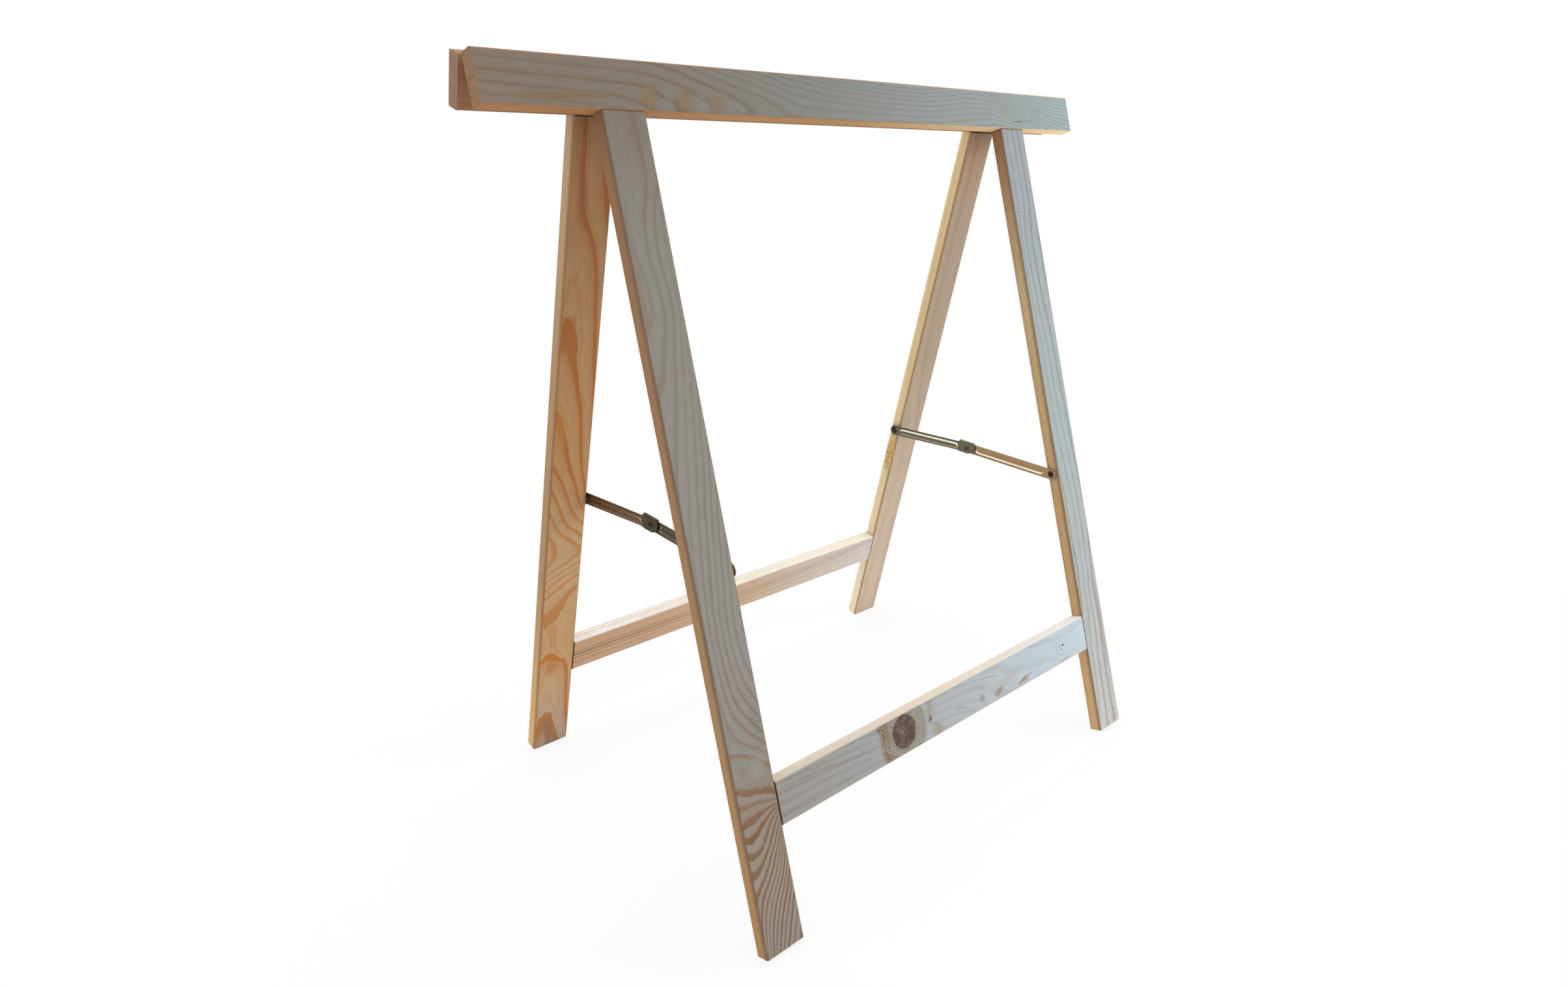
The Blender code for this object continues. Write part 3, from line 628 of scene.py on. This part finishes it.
# %% The rear legs
# The left one's amber bands bend round a swelling. The right one is close and
# even.
new_board(
    "rear_leg_left", late=(0.66, 0.96), slow=0.3, quick=0.16, even=0.9, soft=0.5, rate=4.0,
    edge_lines=0.3, edge_rib=0.4,
    rings=[
        {0: -0.62, 150: -0.8, 192: -1, 235: -1.5, 275: -2, 315: -2.5, 338: -3, 365: -4, 395: -5,
         420: -6, 432: -6.35, 450: -6.6, 462: -6.5, 472: -6, 485: -4.8, 492: -4, 504: -3, 515: -2,
         530: -1.3, 550: -1, 570: -0.95, 595: -1, 603: -1.3, 632: -1.5, 660: -1.8, 690: -2,
         731.5: -2.3},
        {0: 0.35, 60: 0.25, 88: 0, 130: -0.6, 200: -0.9, 238: -1, 290: -1.45, 349: -2, 368: -2.5,
         386: -3, 402: -3.5, 417: -4, 434: -5, 446: -5.6, 456: -5.75, 466: -5.5, 476: -4.7,
         482: -4, 490: -3, 502: -2, 520: -1.2, 545: -0.95, 575: -0.8, 598: -1, 612: -1.5,
         628: -1.7, 660: -1.8, 690: -2, 731.5: -2.4},
        {0: 1.3, 70: 1.05, 160: 0.5, 240: 0.1, 330: -0.3, 366: -0.6, 389: -1, 399: -1.5, 408: -2,
         423: -3, 440: -4, 450: -4.8, 456: -5.05, 462: -5, 468: -4.6, 475: -4, 482: -3, 492: -2,
         510: -1, 530: -0.5, 560: -0.3, 600: -0.4, 640: -0.7, 715: -1, 731.5: -1.2}],
    edge_sides=[(1, 6, "#8c6139", 0.7)],
    face=[
        (0, "#a98058", "#985827"), (110, "#a88058", "#985827"), (240, "#b48b63", "#a46225"),
        (360, "#bb9164", "#ac6a2e"), (480, "#c7a480", "#be8651"), (600, "#c89f71", "#be7220"),
        (731.5, "#bba593", "#a77446")],
    edge=[
        (0, "#b89f7c", "#87451c"), (250, "#af8d68", "#90663d"), (500, "#b18d65", "#7b4920"),
        (731.5, "#ddb575", "#9c6125")],
    marks=[
        (72, 13, 44, 8, 4, "#8d5a35", 0.5), (202, 8, 26, 12, 0, "#a3642f", 0.5),
        (300, 6, 60, 9, 4, "#b9803f", 0.5), (612, 15, 18, 15, 8, "#b5722f", 0.6),
        (558, 12, 14, 12, 0, "#bd8142", 0.5), (712, 16, 42, 9, 6, "#8f6a4c", 0.6),
        (748, 20, 30, 28, 0, "#76675a", 0.9)],
    strokes=[
        ({564: 12.5, 582: 12, 604: 13}, 1.0, "#a8713c", 0.8),
        ({562: 17, 582: 17.2, 604: 18}, 1.0, "#a8713c", 0.8)])
new_board(
    "rear_leg_right", seams=[0], even=0.6, late=(0.5, 0.9), between=0, slow=0.8, uneven=2.0,
    edge_even=0.5, edge_pitch=1.7, edge_figure=((448, 0, 6), (46, 9, 13), "#86592a"),
    edge_drift={0: 0, 330: 0.4, 380: 2, 420: 7, 440: 10, 462: 11, 480: 8, 510: 4, 560: 1,
        731.5: 0},
    rings=[
        {0: 0, 250: 0, 300: -1, 350: -3, 400: -7, 440: -11, 480: -12, 520: -11, 600: -8, 731.5: -7},
        {0: 12, 250: 12, 300: 10.5, 350: 7.5, 400: 3, 440: -1, 480: -2, 520: -0.5, 731.5: 2},
        {0: 24, 250: 24, 300: 22, 350: 18, 400: 13, 440: 9, 480: 8, 520: 10, 731.5: 12}],
    edge_sides=[(1.5, 4.5, "#9c6c3d", 0.8), (16, 11, "#f0e2bc", 0.5)],
    edge_marks=[(446, 0, 50, 9, 0, "#cfa05e", 0.8)],
    face=[
        (0, "#af9b7d", "#bc703b"), (30, "#beaf99", "#c07445"), (120, "#bba793", "#a28f78"),
        (300, "#bca991", "#a58f78"), (500, "#d1bda8", "#baa389"), (731.5, "#e0c6ac", "#bca99c")],
    edge=[
        (0, "#f2d9ab", "#a07448"), (250, "#e2cb9b", "#b68e5b"), (500, "#efdbb3", "#c1a36e"),
        (731.5, "#ffffe6", "#d1994e")])

# %% The stretchers
# The front one has a big knot, a small one, and many short marks between them.
new_board(
    "front_stretcher", late=(0.5, 0.8), even=0.2, between=0.1, soft=0.6, relief=0.06, cloud=0.05,
    grain=0.3, fibre=0.3, edge_pitch=3.2, edge_lines=0.6, edge_rib=0.3,
    rings=[
        {-236: 0.4, -150: -0.6, -60: -1.4, 0: -1.6, 50: -1.5, 110: -3, 180: -4, 236: -3.6},
        {-236: 2.5, -150: 2.2, -60: 1.2, 0: 0.6, 30: 0.2, 60: -0.6, 110: -1.2, 160: -1.8,
         191: -2.4, 236: -2},
        {-236: 4.6, -100: 4.2, 0: 2.8, 22: 2, 44: 1, 66: 0, 110: -0.4, 180: -0.6, 236: 0}],
    face=[
        (-236, "#a09c97", "#90867d"), (-130, "#a5a5a5", "#989794"), (0, "#b6bbc0", "#acadac"),
        (120, "#bfccd2", "#b5bbbe"), (236, "#c9d9e0", "#c0cdd4")],
    edge=[(-236, "#e4d8c3", "#999a95"), (0, "#e8dccc", "#c7b69b"), (236, "#eaeae9", "#e7decb")],
    knots=[
        SimpleNamespace(
            middle=(-76.5, 18.5), radius=16.6, shape=(0.98, 1.03), reach=35, rough=5.0,
            rough_reach=2, pitch=1.95, heart="#56403d", dark="#3f2d24", pale="#7f6a63",
            pith="#a08c7e", cream="#aba398", bark="#55463f", amber="#8f7552", share=0.95),
        SimpleNamespace(
            middle=(190.5, 20.5), radius=1.7, shape=(1.4, 0.75), reach=13, rough=1.5,
            rough_reach=0, pitch=4.2, heart="#57504c", dark="#57504c", pale="#6e6258",
            pith="#57504c", cream="#c9dbe3", bark="#b3b1a2", amber="#c9dbe3", share=0.6)],
    marks=[
        (-38, 9, 8, 22, 4, "#9d9886", 0.7), (-31, 33, 12, 13, -24, "#a49584", 0.7),
        (-29, 38, 7, 6, -20, "#a88f78", 0.6), (-40, 20, 4.5, 7, -8, "#6f655c", 0.9),
        (41, 29, 8, 8, 0, "#9a8f86", 0.7), (85, 24, 34, 8, -8, "#b9aaa0", 0.45),
        (69, 32, 13, 6, -18, "#a48c7a", 0.75), (113, 34.5, 15, 3.4, -12, "#b3957c", 0.9),
        (150, 26, 12, 5, 0, "#b9bda6", 0.4), (-230, 21, 8, 4, 0, "#a88a72", 0.5),
        (-96, 32, 12, 9, 0, "#b19a72", 0.5)],
    checks=[(-110, 4.5, 1.1, 4.5, -24), (-109, 8, 0.8, 2.4, 30)],
    strokes=[
        ({-232: 8.5, -190: 11, -150: 16.5, -108: 20.5}, 2.2, "#857b70", 0.5),
        ({-4: 24, 2: 25, 14: 29, 16.5: 35}, 1.9, "#9c9f8b", 0.7),
        ({-36: 24, -32: 27, -26: 33, -23: 40}, 1.8, "#978775", 0.5),
        ({-6: 1, 14: 5.5, 40: 8, 62: 12, 78: 18}, 1.4, "#8f8f8a", 0.5),
        ({100: 36.5, 108: 34, 116: 31.8, 130: 31.4}, 0.8, "#6c5a50", 0.9),
        ({60: 35, 66: 31.5, 78: 28}, 1.0, "#877060", 0.6),
        ({64: 36, 70: 33.5, 78: 31}, 0.8, "#8f7a69", 0.5),
        ({178: 38.4, 190: 37.8, 206: 37.4}, 0.7, "#8b6a50", 0.8),
        ({160: 37.6, 200: 36.4, 236: 33.6}, 0.9, "#aeb08e", 0.6),
        ({-92: 9.5, -84: 7.4, -76: 7.6, -64: 9.4}, 0.6, "#3d2c2a", 0.85)],
    cross_strokes=[
        ({18: -122.5, 22: -123.6, 28: -124, 34: -125.6, 40: -125.5}, 0.45, "#7d7770", 0.45)])
new_board(
    "rear_stretcher", even=0.65, between=0.0, uneven=1.2, edge_pitch=3.3, edge_wander=0.8,
    rings=[
        {-236: 0, 0: 0.6, 150: 3, 236: 6},
        {-236: 8, 0: 8.3, 150: 10.5, 236: 13},
        {-236: 16, 0: 16, 150: 18, 236: 20}],
    face=[(-236, "#d1ac8a", "#966842"), (0, "#d7b89a", "#ba987e"), (236, "#e3dbd1", "#b5abb2")],
    edge=[(-236, "#fffffb", "#b48455"), (236, "#f4efe0", "#d4c6a0")])

stations = sum(len(rail) for board in BOARDS.values() for rail in board.rings)
print(len(BOARDS), "boards with", stations, "ring stations")

# %% [markdown]
# ## Knots
#
# A knot is a branch seen end on. Its heart is dark and full of resin, with
# its own tight rings round a paler pith and a crack or two. The trunk's wood
# had to grow round it, so thin dark rings lie close about the heart, even on
# one side and torn into rough waves by the planer on the other. Everything
# here is a function of the distance from the knot's middle.

# %% The distance from a knot
EVEN_BEND = 1.3


def knot_distance(place, knot, seed):
    """sqrt(x^2 + y^2) from the knot's middle, bent by noise; on the rough side y counts less.

    With it come (x, y, through) and 1 on the rough side, 0 on the even one.
    """
    (a, b), radius = knot.middle, knot.radius
    along, across, through = parts(place)
    rough = step(along, a - radius * 0.8, a - radius * 1.5)
    bend = EVEN_BEND + (knot.rough - EVEN_BEND) * rough
    bent = noise(place, (5, 8, 14), 3.0, seed) - 0.5
    swell = noise(place, (16, 16, 30), 1.0, seed + 5) - 0.5
    x = (along - a + bent * bend * 2 + swell * 3) / knot.shape[0]
    y = (across - b + bent * bend + swell * 2) / knot.shape[1] * (1 - 0.4 * rough)
    return (x * x + y * y).math("SQRT"), join(x, y, through), rough


# %% The heart of a knot
HEART_PITCH = 1.3


def knot_heart(distance, local, knot, seed):
    """Tight rings, paler curls at the pith, cracks from the middle, and dark blots."""
    radius, dark = knot.radius, knot.heart
    ring = (distance / HEART_PITCH).math("FRACT")
    curl = noise(local, (2.0, 2.6, 9), 4.0, seed)
    pith = step(curl, 0.42, 0.62) * step(distance, radius * 0.45, radius * 0.1)
    spoke = noise(local.vector("NORMALIZE"), (0.3, 0.3, 1), 2.0, seed + 1)
    crack = (step(spoke, 0.6, 0.66) * step(distance, radius * 0.95, radius * 0.6)
             * step(distance, 1.0, 3.0))
    mottle = noise(local, (8, 5, 20), 5.0, seed + 2)
    grain = noise(local, (1.6, 0.8, 9), 3.0, seed + 4)
    faint = step(noise(local, (6, 6, 20), 2.0, seed + 6), 0.4, 0.6)
    light = (step(ring, 0.3, 0.9) * faint * 0.25 + step(mottle, 0.4, 0.62) * 0.6
             + step(grain, 0.45, 0.7) * 0.25)
    heart = blend(light, paint(dark), paint(knot.pale))
    heart = blend(crack * 0.5, heart, paint(dark, 0.55))
    heart = blend(pith * 0.75, heart, paint(knot.pith))
    return blend(step(distance, radius - 1.0, radius) * 0.4, heart, paint(dark, 0.7))


# %% The rings about a knot
def knot_rings(distance, knot, rough, seed, place):
    """Dark lines on cream, each of its own strength, stronger and on amber on the rough side, which
    also gets a painted highlight beside each line.
    """
    count = (distance - knot.radius) / knot.pitch
    turn = count.math("FRACT")
    line = step(turn, 0.45, 0.75) * step(turn, 1.0, 0.88)
    patchy = noise(place, (6, 9, 9), 3.0, seed + 3)
    line = line * (0.65 + 0.35 * chance(count, seed)) * step(patchy, 0.2, 0.45 + 0.1 * rough)
    amber = step(noise(place, (9, 12, 9), 2.0, seed + 7), 0.3, 0.55) * rough * 0.85
    early = blend(amber, paint(knot.cream), paint(knot.amber))
    lines = blend(line, early, blend(rough, paint(knot.bark), paint(knot.dark)))
    # A painted highlight on the torn fibres beside each line, on the rough side.
    light = step(turn, 0.0, 0.1) * step(turn, 0.4, 0.15) * rough
    return line, blend(light * 0.6 * step(patchy, 0.35, 0.6), lines, paint(knot.cream, 1.25))


for name, board in BOARDS.items():
    for knot in board.knots:
        print(f"a knot {2 * knot.radius:.1f} mm wide in the {name}")

# %% [markdown]
# ## Pine
#
# The finish of a board puts it all together: early and late wood by ring
# number, fibres that run along the rings, each mark over them, and different
# tones for the faces, the narrow edges and the sawn ends. An edge shows the
# rings cut through the thickness, so it has its own straight lines. The same
# masks drive the bump and the roughness, because late wood is harder.

# %% The wires that every part of a board's finish needs
EDGE_SOFT = 1.8, 0.4


def lay_out(board, at):
    """The board's facts with its place, rings and torn outlines, and 1 near the narrow edges."""
    b = SimpleNamespace(**vars(board), place=on_board(at, board))
    b.along, b.across, b.through = parts(b.place)
    b.number = ring_number(b.place, board)
    b.flow = join(b.along, b.number * 3.0 + b.across * 0.7, b.through)
    b.torn = noise(b.flow, (14, 4.0, 8), 2.0, b.seed + 5)
    b.loose = shaken(b.place, b.torn, (9, 4, 0))
    outer, inner = EDGE_SOFT
    b.near = step(b.across, b.wide - outer, b.wide - inner) + step(b.across, outer, inner)
    return b


# Painted light lies in these stops: cooler and paler to the right, warmer on shaded inner faces,
# near white on lit edges.
def tone(b, stops, layer):
    """The colour along the board, of early wood for layer 1 and of late wood for layer 2."""
    first, last = b.run
    return ramp((b.along - first) / (last - first),
                [((stop[0] - first) / (last - first), paint(stop[layer])) for stop in stops])


# %% Early and late wood by ring number
def late_wood(number, place, rise, fall, even, slow, seed):
    """0 on early wood, 1 on late wood: up from rise to fall, then down to the next whole number."""
    turn = number.math("FRACT")
    patchy = noise(place, (60, 12, 12), 2.0, seed + 2)
    rising = (step(turn, rise, rise + (fall - rise) * 0.4) * (1 - slow)
              + step(turn, rise - 0.45, fall) * slow)
    return (rising * step(turn, 1.0, fall) * (even + (1 - even) * chance(number, seed))
            * step(patchy, 0.1, 0.5 - 0.3 * even))


def edge_number(b):
    """Rings through the thickness: depth / pitch, plus a curve along the board, plus wander."""
    drift = b.edge_drift or {b.run[0]: 0, b.run[1]: 0.6}
    low, span = spread(drift.values())
    moved = curve(b.along, b.run, drift, low, span) * span + low
    wander = noise(b.place, (60, 12, 8), 2.0, b.seed + 7) - 0.5
    return b.through / b.edge_pitch + moved + wander * b.edge_wander


# %% Faces and edges
MARK_DEEP, EDGE_MARK_DEEP, CHECK_DEEP = 9, 14, 3


def patches(place, rows, through, deep):
    """The soft patch of each row of marks, at this depth and so deep, and the rest of the row."""
    for a, b, half_long, half_wide, turn, *rest in rows:
        yield spot(place, (a, b, through), (half_long, half_wide, deep), turn), rest


def face_wood(b):
    """The colour of the two broad faces, and where their late wood is."""
    rise, fall = b.late
    if b.broad:
        first, last, broad = b.broad
        rise = rise + (broad - rise) * step(b.along, first, last)
    late = late_wood(b.number, b.place, rise, fall, b.even, b.soft, b.seed)
    thin = late_wood(b.number * b.rate + 0.4, b.place, 0.6, 0.9, 0.1, 0.3, b.seed + 12)
    late = late.math("MAXIMUM", thin * b.between)
    colour = blend(late, tone(b, b.face, 1), tone(b, b.face, 2))
    for patch, (tint, share) in patches(b.loose, b.marks, b.shown, MARK_DEEP):
        colour = blend(step(patch, 0.0, 0.9) * share, colour, paint(tint))
    for patch, (tint,) in patches(b.place, b.specks, b.shown, MARK_DEEP):
        dots = step(noise(b.place, (1.6, 0.7, 1), 1.0, b.seed + 6), 0.58, 0.66)
        colour = blend(step(patch, 0, 0.5) * dots, colour, paint(tint))
    return colour, late


def edge_wood(b):
    """The colour of the two narrow edges, where their late wood is, and their fine ribs."""
    late = late_wood(edge_number(b), b.place, 0.5, 0.92, b.edge_even, 0.75, b.seed + 20)
    late = late * b.edge_lines
    colour = blend(late, tone(b, b.edge, 1), tone(b, b.edge, 2))
    # Painted shade in a band towards a face; on the rear right leg also a band of painted
    # highlight.
    for low, high, tint, share in b.edge_sides:
        colour = blend(step(b.through, high, low) * share, colour, paint(tint))
    for patch, (tint, share) in patches(b.loose, b.edge_marks, BOARD_THICK / 2, EDGE_MARK_DEEP):
        colour = blend(step(patch, 0.0, 0.9) * share, colour, paint(tint))
    if b.edge_figure:
        middle, reach, tint = b.edge_figure
        curl = step(noise(b.loose, (5, 9, 2.4), 3.0, b.seed + 14), 0.5, 0.62)
        colour = blend(step(spot(b.place, middle, reach), 0, 0.4) * curl * 0.7, colour, paint(tint))
    ribs = b.near * step(noise(b.place, (0.9, 9, 1.6), 3.0, b.seed + 9), 0.5, 0.75) * b.edge_rib
    return blend(ribs, colour, tone(b, b.edge, 2)), late, ribs


# %% Knots, drawn lines and checks
def with_knots(colour, height, b):
    """Each knot over the outer face, its rings and its heart sunk a little."""
    for seed, knot in enumerate(b.knots, b.seed + 30):
        distance, local, rough = knot_distance(b.place, knot, seed)
        front = step(b.through, FACE_DEEP, BOARD_THICK) * (1 - b.near)
        line, rings = knot_rings(distance, knot, rough, seed, b.place)
        halo = step(distance - (knot.reach + rough * knot.rough_reach), 0, -7) * front
        colour = blend(halo * knot.share, colour, rings)
        core = step(distance, knot.radius + 0.4, knot.radius - 0.4) * front
        colour = blend(core, colour, knot_heart(distance, local, knot, seed))
        height = height - line * halo * (1 - core) * 0.8 - core * 0.3
    return colour, height


def with_strokes(colour, height, b):
    """Each drawn line over the faces, broken by the noise and sunk a little."""
    for rows, swap in ((b.strokes, False), (b.cross_strokes, True)):
        for points, wide, tint, share in rows:
            line = stroke(b.place, points, wide, swap) * (1 - b.near) * share
            colour = blend(line * (0.5 + 0.5 * step(b.torn, 0.35, 0.55)), colour, paint(tint))
            height = height - line * 0.5
    return colour, height


def with_checks(colour, height, b):
    """Short dark cracks, deep in the surface."""
    if b.checks:
        bent = shaken(b.place, noise(b.place, (2, 2, 2), 3.0, b.seed + 13), (3, 3, 0))
        for patch, _ in patches(bent, b.checks, b.shown, CHECK_DEEP):
            split = step(patch, 0.1, 0.9)
            colour, height = blend(split, colour, paint("#4a423d")), height - split * 4.0
    return colour, height


# %% A planer's ripple, seams darkened by dirt and painted shade, and sawn ends
RIPPLE_PITCH = 4.2


def with_ripple(colour, height, b):
    """sin(tau * along / pitch) on the faces, fading along the board."""
    if b.ripple:
        far, depth = b.ripple
        wave = (b.along * (math.tau / RIPPLE_PITCH)).math("SINE")
        fade = (0.3 + 0.7 * step(b.along, far, far * 0.7)) * depth * (1 - b.near)
        colour = blend((wave * 0.5 + 0.5) * fade * 0.5, colour, tone(b, b.face, 2))
        height = height + wave * fade
    return colour, height


def with_seam_shade(colour, height, b):
    """Dirt and painted shade in the last millimetre and a half before each joint."""
    for seam in b.seams:
        gap = (b.along - seam).math("ABSOLUTE")
        dirt_and_shade = 0.55 + 0.5 * noise(b.place, (3, 3, 3), 2.0, b.seed + 15)
        # Dark at each joint: partly dirt, partly painted shade in the gap.
        colour = blend(step(gap, 1.5, 0.3) * dirt_and_shade, colour, paint("#4b3122"))
    return colour, height


def with_sawn_ends(colour, height, b):
    """Arcs of rings and the saw's marks, on the last tenth of a millimetre at both ends."""
    half = (b.run[1] - b.run[0]) / 2
    off = (b.along - sum(b.run) / 2).math("ABSOLUTE")
    tip = step(off, half - 0.12, half - 0.04)
    saw = noise(b.place, (30, 0.7, 16), 2.0, b.seed + 4)
    rows = b.through * 0.35 + b.number * 0.4
    arc = late_wood(rows, b.place, 0.5, 0.9, 0.5, 0.4, b.seed + 11)
    sawn = blend(arc * 0.4 + step(saw, 0.5, 0.72) * 0.6, paint(b.end), paint(b.end, 0.5))
    sawn = blend(step(saw, 0.42, 0.3) * 0.5, sawn, paint(b.end, 1.5))
    return blend(tip, colour, sawn), height + tip * saw * 2.0


# %% Pine for one board
MEAN_SHADE = 1.012


def pine(name, board):
    """Face and edge colours * (mean + grain * fibres + cloud * clouds), and what lies on them."""
    finish, shader, at = new_finish("pine_" + name)
    b = lay_out(board, at)
    fibre = noise(b.flow, (11, 0.45, 1.2), 3.0, b.seed + 3)
    cloudy = noise(b.flow, (16, 4, 9), 3.0, b.seed + 8)
    face, late = face_wood(b)
    edge, edge_late, ribs = edge_wood(b)
    streak = blend(b.near, tone(b, b.face, 2), tone(b, b.edge, 2))
    colour = blend(step(fibre, 0.5, 0.8) * b.fibre, blend(b.near, face, edge), streak)
    colour = scaled(colour, MEAN_SHADE + b.grain * (fibre - 0.5) + b.cloud * (cloudy - 0.5))
    height = (fibre * 0.6 - late * b.relief * (1 - b.near) - ribs * 0.6
              - edge_late * b.near * 0.3)
    for layer in (with_knots, with_strokes, with_checks, with_ripple, with_seam_shade, with_sawn_ends):
        colour, height = layer(colour, height, b)
    plug(shader, Base_Color=colour, Roughness=0.68 - late * 0.12 + fibre * 0.08,
         Normal=bump(height, 0.4, 0.0003), Specular_IOR_Level=0.3)
    return finish


for name, board in BOARDS.items():
    dress([name], pine(name, board))
    print("dressed", name)

# %% [markdown]
# ## The stays' plating, with painted highlights
#
# A stay's links are pressed from plated strip. Along each runs a raised bead.
# Its two borders get painted highlights, where the bead's slopes would catch
# the light, and the flat parts between are dull. Each highlight is painted
# where the distance to the bead's own middle line is right, so the mask is
# measured along and across the link. The strip's rim gets painted shade and
# the eye's rounded end a pale painted highlight. The left stay has gone browner.

# %% Facts about the links
STRIP_HALF, BEAD_HALF = 6.3, 2.9
LINK_LONG, HEAD_START = 132, 117
STAYS = {   # its end pivots off the middle and up, its knuckle's rise over them, its bead's run
    "right": {"pivot": (131.54, 310.17), "rise": 4.0, "bead": (14.9, 113.2)},
    "left": {"pivot": (127.53, 324.41), "rise": 6.1, "bead": (14.9, 109.2)},
}
LINKS = {}


def new_link(name, **facts):
    """File a link under its name: what its stay says, and its own colours."""
    _, hand, which, _ = name.split("_")
    LINKS[name] = SimpleNamespace(**STAYS[hand], **facts, seed=len(LINKS) + 41,
                                  side=1 if which == "rear" else -1)


# upper and lower are the colours and shares of the painted highlights on the bead's two borders.
new_link("stay_right_rear_link", top="#5f584a", middle="#6b634e", head="#6a6352",
         flat=[(0, "#6c6858"), (25, "#655c4c"), (131, "#69604e")],
         upper=("#f4f1e4", 1.0), lower=("#bfae8e", 0.8))
new_link("stay_right_front_link", top="#a88c64", middle="#a5835a", head="#857050",
         flat=[(0, "#a98a62"), (25, "#9c8058"), (131, "#857050")],
         upper=("#c3a983", 0.5), lower=("#efe7d8", 1.0))
new_link("stay_left_rear_link", top="#5d4830", middle="#6a4f35", head="#443b2f",
         flat=[(0, "#7c5636"), (45, "#785a3a"), (100, "#52442f")],
         upper=("#97816a", 0.7), lower=("#88735c", 0.7))
new_link("stay_left_front_link", top="#4c4130", middle="#4a3f2e", head="#443b2f",
         flat=[(0, "#7a6242"), (60, "#5f5039"), (120, "#4b4030")],
         upper=("#7d705e", 0.7), lower=("#6f6350", 0.6))
for name, link in LINKS.items():
    print(f"{name}: {math.hypot(link.pivot[0], link.rise):.1f} mm from pivot to knuckle")


# %% Millimetres along and across a link
def on_link(at, link):
    """(from the eye to the knuckle, up across the strip, sideways) in millimetres."""
    out, high = link.pivot
    side, tilt = link.side, math.atan2(link.rise, out)
    x, y, z = parts(stretched(at, (0, side * out / 1000, high / 1000), (-side * tilt, 0, 0)))
    return join(y * (-1000 * side), z * 1000, x * 1000)


# %% The links' finish
def link_steel(name, link):
    """Dull plate, a painted highlight near the bead's border at its half width, painted shade at
    the strip's rim.
    """
    finish, shader, at = new_finish(name)
    place = on_link(at, link)
    along, up, _ = parts(place)
    start, end = link.bead
    past = (start - along).math("MAXIMUM", along - end).math("MAXIMUM", 0)
    distance = (past * past + up * up).math("SQRT")
    blot = noise(place, (16, 5, 16), 3.0, link.seed)
    scratch = noise(place, (14, 0.3, 4), 3.0, link.seed + 1)
    grime = noise(place, (3, 2, 3), 3.0, link.seed + 2)
    flat = ramp(along / LINK_LONG, [(a / LINK_LONG, paint(c)) for a, c in link.flat])
    colour = blend(step(up, 3.6, 4.8), flat, paint(link.top))
    colour = blend(step(distance, 2.6, 1.8), colour, paint(link.middle))
    # Painted highlights on the bead's two borders, in each link's upper and lower colours.
    bead_highlight = step((distance - BEAD_HALF).math("ABSOLUTE"), 1.3, 0.5) * step(scratch, 0.1, 0.45)
    for (tint, share), low in ((link.upper, -0.6), (link.lower, 0.6)):
        colour = blend(bead_highlight * step(up, low, -low) * share, colour, paint(tint))
    colour = blend(step(along, HEAD_START, HEAD_START + 2), colour, paint(link.head))
    # Painted shade along the strip's rim: the top colour, darker.
    rim_shade = (step(up.math("ABSOLUTE"), STRIP_HALF - 0.9, STRIP_HALF)
           * step(along, HEAD_START + 2, HEAD_START))
    colour = blend(rim_shade * 0.5, colour, paint(link.top, 0.7))
    # A pale painted highlight round the eye's rounded end.
    eye = (along * along + up * up).math("SQRT")
    colour = blend(step(eye, 6.0, 7.2) * step(along, 3, -3) * 0.7, colour, paint("#9a948a"))
    colour = scaled(colour, 0.62 + 0.28 * blot + 0.26 * scratch + 0.2 * grime)
    plug(shader, Base_Color=colour, Metallic=0.9, Roughness=0.4 - bead_highlight * 0.15 + blot * 0.12,
         Normal=bump(scratch * 0.6 + grime * 0.4, 0.15, 0.0001))
    return finish


for name, link in LINKS.items():
    dress([name], link_steel(name.replace("stay", "plate"), link))
print("dressed", len(LINKS), "links")

# %% [markdown]
# ## Screws, rivets, hinges and dowels
#
# The small fittings are plated too, but too small for a bead, so blots and
# fine scratches are enough. Dowels are turned from beech, a close brown wood
# with short dark flecks.

# %% Steel and beech
def plated_steel(name, bright, dull, metal=1.0):
    """Two tones of plate in soft blots, crossed by fine scratches along the strip."""
    finish, shader, at = new_finish(name)
    place = scaled(at, 1000.0)
    blot = noise(place, (5, 5, 5), 3.0, 1)
    scratch = noise(place, (0.35, 16, 0.35), 2.0, 2)
    tarnish = step(blot, 0.35, 0.65)
    colour = blend(tarnish * 0.7 + step(scratch, 0.45, 0.8) * 0.3, paint(bright), paint(dull))
    plug(shader, Base_Color=colour, Metallic=metal, Roughness=0.24 + tarnish * 0.14 + scratch * 0.1,
         Normal=bump(scratch + blot * 0.4, 0.12, 0.0001))
    return finish


def beech(name):
    """A close brown wood with short dark flecks."""
    finish, shader, at = new_finish(name)
    fleck = noise(scaled(at, 1000.0), (1.2, 1.2, 1.2), 2.0, 3)
    colour = blend(step(fleck, 0.5, 0.7), paint("#c79a6b"), paint("#a4754a"))
    plug(shader, Base_Color=colour, Roughness=0.6 + fleck * 0.1, Normal=bump(fleck, 0.2, 0.0001))
    return finish


# %% Dress the fittings
names = list(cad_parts)
dress([n for n in names if "dowel" in n], beech("beech_dowel"))
dress([n for n in names if n.startswith("hinge")],
      plated_steel("hinge_steel", "#c9b276", "#8f7a4a"))
dress(["stay_right_rivet"], plated_steel("rivet_right", "#6d6450", "#3d362b"))
dress(["stay_left_rivet"], plated_steel("rivet_left", "#54483a", "#332a22"))
dress([n for n in names if n.startswith("stay") and n.endswith("screw")],
      plated_steel("stay_screw", "#4a3430", "#241816", 0.8))
print("dressed", len(names) - len(BOARDS) - len(LINKS), "fittings")

# %% [markdown]
# ## Measure
# Nothing was added to the solids or moved, so both boxes are the same. They
# are printed. They
# are written down, and the scene is handed over.

# %% The two boxes
dressed_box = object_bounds()
show_box("box of the dressed trestle:", dressed_box)
